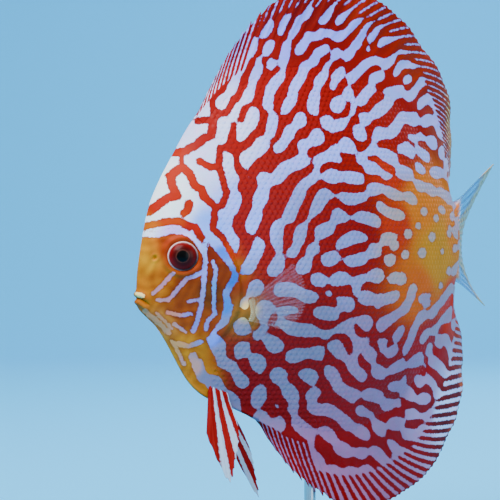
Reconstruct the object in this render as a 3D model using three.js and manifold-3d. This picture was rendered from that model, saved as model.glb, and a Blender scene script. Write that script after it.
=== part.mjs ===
// A life-size discus fish, bent as it turns in the water, on a plain two-rod display stand.
// Millimetres, +Z up, origin at the centre of the base's underside, the fish's snout towards -X.
//
// The fish is drawn straight first: s runs back from the tip of the snout, w to the fish's right
// and h up from its axis. The finished solids are then bent sideways along the swimming line.

import * as THREE from 'three';
import { mergeVertices } from 'three/addons/utils/BufferGeometryUtils.js';
import Module from 'manifold-3d';

const wasm = await Module();
wasm.setup();

// Driving sizes of the fish
const standardLength = 134;
const bodyHalfWidth = 11;
const widestAt = 0.34 * standardLength;
const tailHalfWidth = 2.6;
const finRootHalf = 1.7;
const keelHalf = 1.0;
const jointGap = 0.3;
const percent = standardLength / 100;

// The swimming line's heading, from +X towards +Y, at the snout and at the root of the tail
const snoutHeading = THREE.MathUtils.degToRad(14);
const tailHeading = THREE.MathUtils.degToRad(57.7);
const bendPower = 1.3;
const lineStep = 0.25;
const lineEnd = 1.4 * standardLength;

// Driving sizes of the stand
const baseRadius = 54;
const baseThickness = 8;
const baseBevel = 1.5;
const rodRadius = 2;
const rodStations = [0.48 * standardLength, 0.66 * standardLength];
const rodOffset = 4.7;
const clearanceUnderFish = 9;
const fishDepthBelowAxis = 65.5 * percent;
const axisHeight = baseThickness + clearanceUnderFish + fishDepthBelowAxis;
const balancePoint = 0.45 * standardLength;

// Outlines, as [distance behind the snout, height over the axis] in percent of the standard length
const backOutline = [
  [0, -11.3], [0.5, -3.4], [2.7, 9], [5.2, 15.8], [9.2, 23.4], [14.8, 32], [21.4, 39], [29.6, 44.4],
  [39.3, 47.2], [49.4, 47.5], [60.1, 45], [70.4, 40.9], [78.9, 34.9], [86.2, 27.3], [92.4, 19.1],
  [96.6, 14.2], [100, 11.9],
];
const bellyOutline = [
  [0, -11.3], [0.5, -14.1], [2.7, -16.5], [4.9, -18.7], [7.2, -22.2], [12.7, -31.5], [17.3, -35.7],
  [23.3, -38.1], [30.7, -41.5], [39.5, -45.1], [49.4, -47.2], [60.1, -46.5], [70.8, -41.9],
  [79.7, -35.9], [87.1, -28.4], [93.4, -20.1], [97.2, -13.4], [100, -7.5],
];
const napeAt = 14.4 * percent;
const throatAt = 13.1 * percent;
const foreheadFade = 25;
const gillEdge = [
  [13.1, 22.4], [13.8, 11.2], [17.3, 4.3], [20.1, 1.4], [22.5, -2.9], [23.8, -8.5], [23.7, -13.4],
  [21.9, -18.2], [18.9, -22.5], [16, -24.8], [13.9, -28.4],
];
const tailCutAt = 91 * percent;

// Gill cover, eyes, nostrils and mouth
const gillCoverLift = 0.6;
const gillCoverFade = 7;
const gillCoverSpan = [-24 * percent, 4 * percent];
const eyeAt = [10.2 * percent, -1.5 * percent];
const eyeRadius = 5.1;
const eyeBulge = 3.2;
const eyeSink = 1.2;
const orbitRim = 0.65;
const nostrilAt = [3.9 * percent, -1.9 * percent];
const nostrilRadius = 0.75;
const mouthFront = [0.9 * percent, -11.7 * percent];
const mouthCorner = [3 * percent, -13.4 * percent];
const mouthHalfWidth = 2.2;
const mouthOpening = 0.35;
const upperLip = 1.6;
const lowerLip = 1.4;
const lipFlatness = 0.85;
const lipCornerPart = 0.62;

// Unpaired fins: for a few rays, where each leaves the body (s) and where its tip is (s, h), in percent
const dorsalRays = [
  [14.9, 16.3, 35], [18, 21, 44.5], [22, 26.5, 53], [27, 34, 60.5], [33, 43.5, 65.2], [41, 54, 67.3],
  [50, 65.5, 64.5], [60, 77, 59.5], [70, 88.5, 51.5], [79, 99, 43], [86.5, 106, 34], [91.5, 108, 26],
  [95, 105, 18.5], [97.5, 101, 14],
];
const analRays = [
  [31, 33.5, -46], [35, 40, -54.5], [40, 46.5, -60], [46, 54, -63.5], [53, 65, -65.2], [61, 77, -63],
  [69, 87, -58.5], [77, 96.5, -51.5], [84, 104, -43.5], [90, 109.5, -34.5], [94, 110.5, -27],
  [97, 107.5, -20], [99, 102.5, -13],
];
const dorsalCurl = 8;
const analCurl = 3;
const curlStart = 0.55;
const dorsalSpines = 9;
const dorsalSoftRays = 31;
const analSpines = 8;
const analSoftRays = 28;

// Tail fin: ray tips from the lowest to the highest, and how far they sweep to the fish's right
const tailRoot = [-7.2 * percent, 11.6 * percent];
const tailTips = [
  [120, -15.7, -3], [121, -10.5, 3], [119.8, -3.7, 6.5], [119.5, 1.5, 7], [120.2, 7.5, 5.5],
  [121.8, 15.8, 0.5], [121, 24.1, -6],
];
const tailRays = 16;

// Paired fins: root line and ray tips, as [s, h, w] with w the distance out from the middle plane
const pectoralRoot = [[25.2, -13.2, 8.5], [25.6, -17, 8.2]];
const pectoralTips = [[33.5, -3, 21], [35.2, -6.5, 22.5], [35.8, -11, 23], [35.2, -15.5, 22], [32.5, -19.5, 18.5]];
const pectoralRays = 12;
const pelvicRoot = [[17.8, -33.6, 1.6], [22.6, -35.6, 1.8]];
const leftPelvicTips = [[16.6, -45, 4.6], [21.8, -56.5, 6], [23.6, -52, 5.6], [24.8, -46, 5], [24.6, -42.5, 4.2]];
const rightPelvicTips = [[24, -47, 4.8], [33.2, -61.5, 6.4], [32.6, -56, 6], [31, -50, 5.4], [28, -44.5, 4.4]];
const pelvicRays = 6;

// Fin surface: half thickness over a ray and between two rays, at the root and at the tips
const rayHalf = [1.5, 0.42];
const webHalf = [1.2, 0.25];
const smallRayHalf = [1.1, 0.4];
const smallWebHalf = [0.8, 0.27];
const spineNotch = 0.11;
const softNotch = 0.02;

const skin = (colour) => new THREE.MeshStandardMaterial({ color: colour, roughness: 0.35, metalness: 0 });
const headSkin = skin('#d98a2b');
const bodySkin = skin('#c7503f');
const finSkin = skin('#b8362e');
const clearFin = skin('#cfd6dc');
const eyeMaterial = skin('#3a0f12');
const baseMaterial = new THREE.MeshStandardMaterial({ color: '#2b2a29', roughness: 0.5, metalness: 0 });
const rodMaterial = new THREE.MeshStandardMaterial({ color: '#b9bcc0', roughness: 0.3, metalness: 1 });

const { clamp, lerp, smoothstep } = THREE.MathUtils;

// The swimming line, as a table of places and headings
const lineTable = [{ x: 0, y: 0, heading: snoutHeading }];
for (let s = lineStep; s <= lineEnd; s += lineStep) {
  const last = lineTable[lineTable.length - 1];
  const heading = snoutHeading + (tailHeading - snoutHeading) * (s / standardLength) ** bendPower;
  const middle = (heading + last.heading) / 2;
  lineTable.push({
    x: last.x + lineStep * Math.cos(middle),
    y: last.y + lineStep * Math.sin(middle),
    heading,
  });
}

function swimmingLine(s) {
  const place = clamp(s / lineStep, 0, lineTable.length - 1.001);
  const index = Math.floor(place);
  const a = lineTable[index];
  const b = lineTable[index + 1];
  const part = place - index;
  const beyond = Math.min(s, 0);
  return {
    x: lerp(a.x, b.x, part) + beyond * Math.cos(snoutHeading),
    y: lerp(a.y, b.y, part) + beyond * Math.sin(snoutHeading),
    heading: lerp(a.heading, b.heading, part),
  };
}

// A straight point (s, w, h) bent sideways along the line
function bend(s, w, h) {
  const at = swimmingLine(s);
  return [at.x - w * Math.sin(at.heading), at.y + w * Math.cos(at.heading), h];
}

const toVector = ([s, h]) => new THREE.Vector2(s * percent, h * percent);

// Height of an outline at a distance behind the snout
function heightTable(outline) {
  const samples = new THREE.SplineCurve(outline.map(toVector)).getPoints(600);
  return (s) => {
    let low = 0;
    let high = samples.length - 1;
    while (high - low > 1) {
      const middle = (low + high) >> 1;
      if (samples[middle].x > s) high = middle;
      else low = middle;
    }
    const a = samples[low];
    const b = samples[high];
    const part = clamp((s - a.x) / Math.max(b.x - a.x, 1e-6), 0, 1);
    return lerp(a.y, b.y, part);
  };
}

const backHeight = heightTable(backOutline);
const bellyHeight = heightTable(bellyOutline);

// Half width of the body's widest section at s
function sectionHalfWidth(s) {
  if (s < widestAt) {
    const ahead = 1 - clamp(s, 0, widestAt) / widestAt;
    return bodyHalfWidth * (1 - ahead ** 2.2) ** 0.6;
  }
  const behind = clamp((s - widestAt) / (standardLength - widestAt), 0, 1);
  return tailHalfWidth + (bodyHalfWidth - tailHalfWidth) * (1 - behind ** 1.8) ** 1.2;
}

// Half width of the edge that the fins grow from, thin along the belly and none on the face
function edgeHalfWidth(s, h) {
  const root = h > 0 ? smoothstep(s, 0.5 * napeAt, napeAt) : smoothstep(s, 0.25 * standardLength, 0.31 * standardLength);
  const keel = h > 0 ? 0 : keelHalf * smoothstep(s, 0.5 * throatAt, throatAt);
  return Math.max(keel, finRootHalf * root);
}

function bodyHalfWidthAt(s, h) {
  const back = backHeight(s);
  const belly = bellyHeight(s);
  const level = clamp((2 * h - back - belly) / Math.max(back - belly, 0.01), -1, 1);
  const fullness = lerp(0.68, 0.9, smoothstep(s, 0, foreheadFade));
  const lens = sectionHalfWidth(s) * (1 - Math.abs(level) ** 2.4) ** fullness;
  return Math.hypot(lens, edgeHalfWidth(s, h));
}

// A closed plate: its left and right faces use one grid, and a strip joins them round the border.
// place(u, v) gives s, h, the middle w and the half thickness.
function plate(columns, rows, place) {
  const positions = [];
  for (const side of [-1, 1]) {
    for (let j = 0; j <= rows; j += 1) {
      for (let i = 0; i <= columns; i += 1) {
        const { s, h, middle, half } = place(i / columns, j / rows, i, j);
        positions.push(s, middle + side * half, h);
      }
    }
  }
  const count = (columns + 1) * (rows + 1);
  const at = (i, j) => j * (columns + 1) + i;
  const index = [];
  const quad = (a, b, c, d) => index.push(a, b, c, a, c, d);
  for (let j = 0; j < rows; j += 1) {
    for (let i = 0; i < columns; i += 1) {
      const corners = [at(i, j), at(i + 1, j), at(i + 1, j + 1), at(i, j + 1)];
      const [a, b, c, d] = corners;
      quad(a, b, c, d);
      index.push(a + count, c + count, b + count, a + count, d + count, c + count);
    }
  }
  const border = (p, q) => quad(q, p, p + count, q + count);
  for (let i = 0; i < columns; i += 1) {
    border(at(i, 0), at(i + 1, 0));
    border(at(i + 1, rows), at(i, rows));
  }
  for (let j = 0; j < rows; j += 1) {
    border(at(columns, j), at(columns, j + 1));
    border(at(0, j + 1), at(0, j));
  }
  const geometry = new THREE.BufferGeometry();
  geometry.setAttribute('position', new THREE.Float32BufferAttribute(positions, 3));
  geometry.setIndex(index);
  return geometry;
}

// Signed volume of a closed mesh, negative where its faces point inwards
function signedVolume(points, corners) {
  const [a, b, c] = [new THREE.Vector3(), new THREE.Vector3(), new THREE.Vector3()];
  let volume = 0;
  for (let k = 0; k < corners.length; k += 3) {
    a.fromArray(points, 3 * corners[k]);
    b.fromArray(points, 3 * corners[k + 1]);
    c.fromArray(points, 3 * corners[k + 2]);
    volume += a.dot(b.cross(c)) / 6;
  }
  return volume;
}

// three.js shape to manifold solid: doubled vertices merged, flat triangles dropped, faces outwards
function toSolid(geometry) {
  const plain = geometry.clone();
  plain.deleteAttribute('normal');
  plain.deleteAttribute('uv');
  const merged = mergeVertices(plain, 1e-4);
  const corners = merged.index.array;
  const triVerts = [];
  for (let k = 0; k < corners.length; k += 3) {
    const [a, b, c] = [corners[k], corners[k + 1], corners[k + 2]];
    if (a !== b && b !== c && c !== a) triVerts.push(a, b, c);
  }
  if (signedVolume(merged.attributes.position.array, triVerts) < 0) triVerts.reverse();
  return new wasm.Manifold(new wasm.Mesh({
    numProp: 3,
    vertProperties: new Float32Array(merged.attributes.position.array),
    triVerts: new Uint32Array(triVerts),
  }));
}

function largestPiece(solid) {
  const pieces = solid.decompose();
  return pieces.reduce((best, piece) => (piece.volume() > best.volume() ? piece : best));
}

// Manifold solid back to a three.js shape, each vertex moved by a function of its place
function toGeometry(solid, move) {
  const { vertProperties, triVerts, numProp } = largestPiece(solid).getMesh();
  const positions = [];
  for (let k = 0; k < vertProperties.length; k += numProp) {
    positions.push(...move(vertProperties[k], vertProperties[k + 1], vertProperties[k + 2]));
  }
  const geometry = new THREE.BufferGeometry();
  geometry.setAttribute('position', new THREE.Float32BufferAttribute(positions, 3));
  geometry.setIndex(Array.from(triVerts));
  geometry.computeVertexNormals();
  return geometry;
}

const fish = new THREE.Group();
function addFish(name, solid, material) {
  const mesh = new THREE.Mesh(toGeometry(solid, bend), material);
  mesh.name = name;
  fish.add(mesh);
}

// The gill cover's rear edge, from the throat to the nape, parts the head from the trunk
const nape = new THREE.Vector2(napeAt, backHeight(napeAt));
const throat = new THREE.Vector2(throatAt, bellyHeight(throatAt));
const gillSeam = new THREE.SplineCurve([nape, ...gillEdge.map(toVector), throat].reverse());
const faceProfile = new THREE.SplineCurve([
  throat,
  ...bellyOutline.map(toVector).filter((point) => point.x < throatAt - 1).reverse(),
  ...backOutline.map(toVector).filter((point) => point.x > 0 && point.x < napeAt - 1),
  nape,
]);
const seamRows = 22;
const evenAndCrowded = (v) => 0.5 * (v + 0.5 - 0.5 * Math.cos(Math.PI * v));

// Head: each row runs back from the face's outline to the gill seam
function headShell() {
  const columns = 13;
  return plate(columns, seamRows, (u, row, i) => {
    const v = evenAndCrowded(row);
    const front = faceProfile.getPointAt(v);
    const rear = gillSeam.getPointAt(v);
    const t = u ** 1.6;
    const s = lerp(front.x, rear.x, t);
    const h = lerp(front.y, rear.y, t);
    const cover = smoothstep(h, gillCoverSpan[0], gillCoverSpan[0] + gillCoverFade)
      * (1 - smoothstep(h, gillCoverSpan[1] - gillCoverFade, gillCoverSpan[1]));
    const lift = gillCoverLift * cover * (1 - smoothstep(rear.x - s, 0, gillCoverFade));
    const half = i === 0 ? edgeHalfWidth(s, h) : bodyHalfWidthAt(s, h) + lift;
    return { s, h, middle: 0, half };
  });
}

// Trunk and tail root: a patch between a front edge, a rear edge and the two outlines
function bodyPatch(columns, rows, front, rear, spare) {
  const low = (t) => {
    const s = lerp(front(0).x, rear(0).x, t);
    return new THREE.Vector2(s, bellyHeight(s) - spare);
  };
  const high = (t) => {
    const s = lerp(front(1).x, rear(1).x, t);
    return new THREE.Vector2(s, backHeight(s) + spare);
  };
  return plate(columns, rows, (u, row) => {
    const v = evenAndCrowded(row);
    const across = front(v).clone().lerp(rear(v), u);
    const along = low(u).clone().lerp(high(u), v);
    const flat = low(0).lerp(low(1), u).lerp(high(0).lerp(high(1), u), v);
    const { x: s, y: h } = across.add(along).sub(flat);
    return { s, h, middle: 0, half: bodyHalfWidthAt(s, h) + spare };
  });
}

const upright = (s, spare) => (v) => new THREE.Vector2(s, lerp(bellyHeight(s) - spare, backHeight(s) + spare, v));
const seamEdge = (spare) => (v) => {
  const point = gillSeam.getPointAt(v);
  return new THREE.Vector2(point.x + jointGap - spare, point.y + spare * (2 * v - 1));
};
const trunkShell = (spare) => bodyPatch(22, seamRows, seamEdge(spare), upright(tailCutAt, spare), spare);

// A torus set flat on the skin, or any shape turned to stand on it
function onSkin([s, h], side, depth) {
  const step = 0.5;
  const slopeS = (bodyHalfWidthAt(s + step, h) - bodyHalfWidthAt(s - step, h)) / (2 * step);
  const slopeH = (bodyHalfWidthAt(s, h + step) - bodyHalfWidthAt(s, h - step)) / (2 * step);
  const normal = new THREE.Vector3(-slopeS, side, -slopeH).normalize();
  const turn = new THREE.Quaternion().setFromUnitVectors(new THREE.Vector3(0, 0, 1), normal);
  const place = new THREE.Vector3(s, side * bodyHalfWidthAt(s, h), h).addScaledVector(normal, -depth);
  return new THREE.Matrix4().compose(place, turn, new THREE.Vector3(1, 1, 1));
}

function eyeBall(side, spare) {
  const ball = new THREE.SphereGeometry(1, 18, 8);
  ball.scale(eyeRadius + spare, eyeRadius + spare, eyeBulge + spare);
  return toSolid(ball.applyMatrix4(onSkin(eyeAt, side, eyeSink)));
}

function orbit(side) {
  const rim = new THREE.TorusGeometry(eyeRadius + jointGap + 0.5 * orbitRim, orbitRim, 5, 20);
  return toSolid(rim.applyMatrix4(onSkin(eyeAt, side, 0)));
}

function nostril(side) {
  const pit = new THREE.SphereGeometry(nostrilRadius, 6, 4);
  return toSolid(pit.applyMatrix4(onSkin(nostrilAt, side, 0)));
}

// A lip: a bar round the mouth from corner to corner, thin at both ends
function lip(radius, offset) {
  const segments = 12;
  const sides = 8;
  const positions = [];
  const index = [];
  for (let i = 0; i <= segments; i += 1) {
    const turn = lerp(-1, 1, i / segments);
    const round = Math.cos(turn * Math.PI / 2);
    const s = lerp(mouthCorner[0], mouthFront[0], round);
    const h = lerp(mouthCorner[1], mouthFront[1], round) + offset;
    const w = mouthHalfWidth * Math.sin(turn * Math.PI / 2);
    const thick = radius * lerp(lipCornerPart, 1, round);
    for (let k = 0; k < sides; k += 1) {
      const angle = 2 * Math.PI * k / sides;
      const out = lipFlatness * thick * Math.cos(angle);
      const up = thick * Math.sin(angle);
      const away = new THREE.Vector2(-round, turn).normalize();
      positions.push(s + out * away.x, w + out * away.y, h + up);
    }
  }
  const at = (i, k) => i * sides + (k % sides);
  for (let i = 0; i < segments; i += 1) {
    for (let k = 0; k < sides; k += 1) {
      index.push(at(i, k), at(i, k + 1), at(i + 1, k + 1), at(i, k), at(i + 1, k + 1), at(i + 1, k));
    }
  }
  for (let k = 1; k < sides - 1; k += 1) {
    index.push(at(0, 0), at(0, k + 1), at(0, k));
    index.push(at(segments, 0), at(segments, k), at(segments, k + 1));
  }
  const geometry = new THREE.BufferGeometry();
  geometry.setAttribute('position', new THREE.Float32BufferAttribute(positions, 3));
  geometry.setIndex(index);
  return toSolid(geometry);
}

function mouthSlot() {
  const [frontS, frontH] = mouthFront;
  const [cornerS, cornerH] = mouthCorner;
  const line = new THREE.Shape([
    new THREE.Vector2(frontS - 3, frontH + mouthOpening),
    new THREE.Vector2(frontS - 3, frontH - mouthOpening),
    new THREE.Vector2(cornerS, cornerH),
  ]);
  const depth = 4 * mouthHalfWidth;
  const slot = new THREE.ExtrudeGeometry(line, { depth, bevelEnabled: false });
  slot.rotateX(Math.PI / 2).translate(0, depth / 2, 0);
  return toSolid(slot);
}

let head = toSolid(headShell()).add(lip(upperLip, upperLip)).add(lip(lowerLip, -lowerLip)).subtract(mouthSlot());
for (const side of [-1, 1]) {
  head = head.add(orbit(side)).subtract(eyeBall(side, jointGap)).subtract(nostril(side));
}
addFish('head', head, headSkin);
addFish('eye_left', eyeBall(-1, 0), eyeMaterial);
addFish('eye_right', eyeBall(1, 0), eyeMaterial);
addFish('trunk', toSolid(trunkShell(0)), bodySkin);
const tailStart = tailCutAt + jointGap;
const tailShell = bodyPatch(5, 14, upright(tailStart, 0), upright(standardLength, 0), 0);
addFish('tail_root', toSolid(tailShell), bodySkin);
const fatTrunk = toSolid(trunkShell(jointGap));

// A ruled fin: rays from the root line to the tips, raised over the web between them.
// root(a) and tip(a) give s, h and w; rayEnds shortens the web between two tips.
function rayedFin({ rays, rows, root, tip, ray, web, notch }) {
  return plate(2 * rays, rows, (a, b, i) => {
    const isRay = i % 2 === 1;
    const from = root(a);
    const to = tip(a);
    const reach = isRay ? b : b * (1 - notch(a));
    const [thick, thin] = isRay ? ray : web;
    return {
      s: lerp(from.s, to.s, reach),
      h: lerp(from.h, to.h, reach),
      middle: from.w + (to.w - from.w) * reach ** (to.curl ?? 1),
      half: lerp(thick, thin, b ** 0.6),
    };
  });
}

// Dorsal and anal fin stand on the body's outline
function unpairedFin({ table, heightAt, up, spines, softRays, curl }) {
  const rootCurve = new THREE.SplineCurve(table.map(([s, tipS], k) => new THREE.Vector2(k, s * percent)));
  const tipCurve = new THREE.SplineCurve(table.map(([, s, h]) => toVector([s, h])));
  const rays = spines + softRays;
  return rayedFin({
    rays,
    rows: 6,
    ray: rayHalf,
    web: webHalf,
    notch: (a) => (a < spines / rays ? spineNotch : softNotch),
    root: (a) => {
      const s = rootCurve.getPoint(a).y;
      const slope = (heightAt(s + 0.5) - heightAt(s - 0.5)) * up;
      const away = new THREE.Vector2(-slope, 1).normalize();
      return { s: s + away.x * jointGap, h: heightAt(s) + up * away.y * jointGap, w: 0 };
    },
    tip: (a) => {
      const point = tipCurve.getPoint(a);
      return { s: point.x, h: point.y, w: curl * smoothstep(a, curlStart, 1), curl: 2 };
    },
  });
}

addFish('dorsal_fin', toSolid(unpairedFin({
  table: dorsalRays, heightAt: backHeight, up: 1, spines: dorsalSpines, softRays: dorsalSoftRays, curl: dorsalCurl,
})), finSkin);
addFish('anal_fin', toSolid(unpairedFin({
  table: analRays, heightAt: bellyHeight, up: -1, spines: analSpines, softRays: analSoftRays, curl: analCurl,
})), finSkin);

function tailFin() {
  const tips = new THREE.CatmullRomCurve3(tailTips.map(([s, h, w]) => new THREE.Vector3(s * percent, h * percent, w)));
  return rayedFin({
    rays: tailRays,
    rows: 6,
    ray: rayHalf,
    web: webHalf,
    notch: () => softNotch,
    root: (a) => ({ s: standardLength + jointGap, h: lerp(tailRoot[0], tailRoot[1], a), w: 0 }),
    tip: (a) => {
      const point = tips.getPoint(a);
      return { s: point.x, h: point.y, w: point.z, curl: 1.6 };
    },
  });
}
addFish('tail_fin', toSolid(tailFin()), clearFin);

// A paired fin, rooted in the trunk and cut clear of it
function pairedFin({ root, tips, side, rays }) {
  const scaled = (point) => new THREE.Vector3(point[0] * percent, point[1] * percent, side * point[2]);
  const [first, last] = root.map(scaled);
  const tipCurve = new THREE.CatmullRomCurve3(tips.map(scaled));
  const blade = rayedFin({
    rays,
    rows: 5,
    ray: smallRayHalf,
    web: smallWebHalf,
    notch: () => softNotch,
    root: (a) => {
      const point = first.clone().lerp(last, a);
      return { s: point.x, h: point.y, w: point.z };
    },
    tip: (a) => {
      const point = tipCurve.getPoint(a);
      return { s: point.x, h: point.y, w: point.z };
    },
  });
  return toSolid(blade).subtract(fatTrunk);
}

for (const [side, name] of [[-1, 'left'], [1, 'right']]) {
  const tips = side < 0 ? leftPelvicTips : rightPelvicTips;
  const pectoral = pairedFin({ root: pectoralRoot, tips: pectoralTips, side, rays: pectoralRays });
  const pelvic = pairedFin({ root: pelvicRoot, tips, side, rays: pelvicRays });
  addFish(`pectoral_fin_${name}`, pectoral, clearFin);
  addFish(`pelvic_fin_${name}`, pelvic, finSkin);
}

// Stand: each rod passes the anal fin on the fish's right and ends under the flank
rodStations.forEach((s, k) => {
  const length = axisHeight - baseThickness - jointGap;
  const rod = new THREE.CylinderGeometry(rodRadius, rodRadius, length, 16);
  rod.rotateX(Math.PI / 2).translate(s, rodOffset, -axisHeight + baseThickness + jointGap + length / 2);
  addFish(`stand_rod_${k + 1}`, toSolid(rod).subtract(fatTrunk), rodMaterial);
});

const centre = swimmingLine(balancePoint);
fish.position.set(-centre.x, -centre.y, axisHeight);

const baseProfile = [
  [0, 0], [baseRadius, 0], [baseRadius, baseThickness - baseBevel], [baseRadius - baseBevel, baseThickness],
  [0, baseThickness],
].map(([r, z]) => new THREE.Vector2(r, z));
const baseShape = new THREE.LatheGeometry(baseProfile, 96).rotateX(Math.PI / 2);
const base = new THREE.Mesh(toGeometry(toSolid(baseShape), (x, y, z) => [x, y, z]), baseMaterial);
base.name = 'stand_base';

const model = new THREE.Group();
model.add(fish, base);

export default model;
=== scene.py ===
import math

import bpy
import numpy as np
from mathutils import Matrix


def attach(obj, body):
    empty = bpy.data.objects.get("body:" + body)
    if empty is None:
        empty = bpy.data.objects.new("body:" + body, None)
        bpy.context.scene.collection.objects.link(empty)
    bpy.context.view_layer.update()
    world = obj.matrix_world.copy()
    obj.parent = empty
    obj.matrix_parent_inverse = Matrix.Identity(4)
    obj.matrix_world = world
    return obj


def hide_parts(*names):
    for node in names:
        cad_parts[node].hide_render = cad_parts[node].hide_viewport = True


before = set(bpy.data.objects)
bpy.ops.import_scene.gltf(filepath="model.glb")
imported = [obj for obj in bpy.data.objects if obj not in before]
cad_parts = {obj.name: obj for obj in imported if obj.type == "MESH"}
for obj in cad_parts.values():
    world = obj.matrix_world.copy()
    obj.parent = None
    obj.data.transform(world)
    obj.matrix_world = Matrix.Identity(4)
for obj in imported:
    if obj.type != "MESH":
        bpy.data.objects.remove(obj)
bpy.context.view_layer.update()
print("frame loaded:", len(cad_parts), "nodes")

# The fish is drawn straight, in millimetres: s runs back from the snout, w to the fish's right,
# h up from its axis. Finished points are bent along the swimming line and turned into metres.
length = 134.0
percent = length / 100
baseHeight = 8
clearance = 9
analDepth = 65.5 * percent
fish = {
    "halfWidth": 11.0,
    "widestAt": 0.34 * length,
    "tailHalfWidth": 2.6,
    "finRootHalf": 1.7,
    "keelHalf": 1.0,
    "snoutHeading": math.radians(14),
    "tailHeading": math.radians(57.7),
    "bendPower": 1.3,
    "lineStep": 0.25,
    "axisHeight": baseHeight + clearance + analDepth,
    "balancePoint": 0.45 * length,
    "seed": 3,
}


def smoothstep(x, low, high):
    # 0 below low, 1 above high, with a soft rise between
    t = np.clip((np.asarray(x, float) - low) / (high - low), 0, 1)
    return t * t * (3 - 2 * t)


def mix(a, b, t):
    return a + (b - a) * t


def curveAt(points, t):
    # uniform Catmull-Rom curve through the points, t from 0 at the first to 1 at the last
    p = np.asarray(points, float)
    place = np.clip(np.asarray(t, float), 0, 1) * (len(p) - 1)
    i = np.minimum(place.astype(int), len(p) - 2)
    f = (place - i)[..., None]
    a, b, c, d = p[np.maximum(i - 1, 0)], p[i], p[i + 1], p[np.minimum(i + 2, len(p) - 1)]
    u, v = (c - a) / 2, (d - b) / 2
    return (2 * b - 2 * c + u + v) * f ** 3 + (-3 * b + 3 * c - 2 * u - v) * f ** 2 + u * f + b


def linear(red, green, blue):
    # an 8-bit colour as the linear values a shader takes
    c = np.array([red, green, blue], float) / 255
    return np.where(c <= 0.04045, c / 12.92, ((c + 0.055) / 1.055) ** 2.4)


# Outlines as distance behind the snout and height over the axis, in percent of the length
backOutline = [
    [0, -11.3], [0.5, -3.4], [2.7, 9], [5.2, 15.8], [9.2, 23.4], [14.8, 32], [21.4, 39], [29.6, 44.4],
    [39.3, 47.2], [49.4, 47.5], [60.1, 45], [70.4, 40.9], [78.9, 34.9], [86.2, 27.3], [92.4, 19.1],
    [96.6, 14.2], [100, 11.9],
]
bellyOutline = [
    [0, -11.3], [0.5, -14.1], [2.7, -16.5], [4.9, -18.7], [7.2, -22.2], [12.7, -31.5], [17.3, -35.7],
    [23.3, -38.1], [30.7, -41.5], [39.5, -45.1], [49.4, -47.2], [60.1, -46.5], [70.8, -41.9],
    [79.7, -35.9], [87.1, -28.4], [93.4, -20.1], [97.2, -13.4], [100, -7.5],
]
backLine = curveAt(np.array(backOutline) * percent, np.linspace(0, 1, 1600))
bellyLine = curveAt(np.array(bellyOutline) * percent, np.linspace(0, 1, 1600))


def backHeight(s):
    return np.interp(s, backLine[:, 0], backLine[:, 1])


def bellyHeight(s):
    return np.interp(s, bellyLine[:, 0], bellyLine[:, 1])


def sectionHalfWidth(s):
    # half the width of the widest section at s: swells to widestAt, then thins to the tail
    ahead = 1 - np.clip(s, 0, fish["widestAt"]) / fish["widestAt"]
    front = fish["halfWidth"] * (1 - ahead ** 2.2) ** 0.6
    behind = np.clip((s - fish["widestAt"]) / (length - fish["widestAt"]), 0, 1)
    rear = fish["tailHalfWidth"] + (fish["halfWidth"] - fish["tailHalfWidth"]) * (1 - behind ** 1.8) ** 1.2
    return np.where(s < fish["widestAt"], front, rear)


def edgeHalfWidth(s, h):
    # half the width of the edge that the fins grow from
    nape, throat = 14.4 * percent, 13.1 * percent
    above = smoothstep(s, 0.5 * nape, nape) * fish["finRootHalf"]
    below = np.maximum(smoothstep(s, 0.25 * length, 0.31 * length) * fish["finRootHalf"],
                       smoothstep(s, 0.5 * throat, throat) * fish["keelHalf"])
    return np.where(h > 0, above, below)


def halfWidthAt(s, h):
    back, belly = backHeight(s), bellyHeight(s)
    level = np.clip((2 * h - back - belly) / np.maximum(back - belly, 0.01), -1, 1)
    fullness = mix(0.68, 0.9, smoothstep(s, 0, 25))
    lens = sectionHalfWidth(s) * (1 - np.abs(level) ** 2.4) ** fullness
    return np.hypot(lens, edgeHalfWidth(s, h))


# The swimming line: heading grows with distance, places are its running sum
lineS = np.arange(0, 1.4 * length + 1, fish["lineStep"])
turn = fish["tailHeading"] - fish["snoutHeading"]
lineHeading = fish["snoutHeading"] + turn * (lineS / length) ** fish["bendPower"]
between = (lineHeading[1:] + lineHeading[:-1]) / 2
lineX = np.concatenate([[0], np.cumsum(np.cos(between))]) * fish["lineStep"]
lineY = np.concatenate([[0], np.cumsum(np.sin(between))]) * fish["lineStep"]
centreX = float(np.interp(fish["balancePoint"], lineS, lineX))
centreY = float(np.interp(fish["balancePoint"], lineS, lineY))


def bent(flat):
    # straight points (s, w, h) turned off the swimming line, in the model's frame, in metres
    s, w, h = flat[..., 0], flat[..., 1], flat[..., 2]
    heading = np.interp(s, lineS, lineHeading)
    ahead = np.minimum(s, 0)
    x = np.interp(s, lineS, lineX) + ahead * math.cos(fish["snoutHeading"]) - w * np.sin(heading)
    y = np.interp(s, lineS, lineY) + ahead * math.sin(fish["snoutHeading"]) + w * np.cos(heading)
    return np.stack([x - centreX, y - centreY, h + fish["axisHeight"]], -1) / 1000


def gridFaces(columns, rows, wrap=False):
    # four corners of each cell of a grid of columns x rows points, row by row
    i = np.arange(columns - 1)
    j = np.arange(rows if wrap else rows - 1)
    i, j = np.meshgrid(i, j, indexing="ij")
    after = (j + 1) % rows
    corners = [i * rows + j, (i + 1) * rows + j, (i + 1) * rows + after, i * rows + after]
    return np.stack(corners, -1).reshape(-1, 4)


def facingOut(points, quads):
    # turns all faces round where the closed mesh has a negative volume
    p = points.reshape(-1, 3)
    a, b, c, d = (p[quads[:, k]] for k in range(4))
    volume = np.einsum("ij,ij->", a, np.cross(b, c)) + np.einsum("ij,ij->", a, np.cross(c, d))
    return quads if volume > 0 else quads[:, ::-1]


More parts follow.
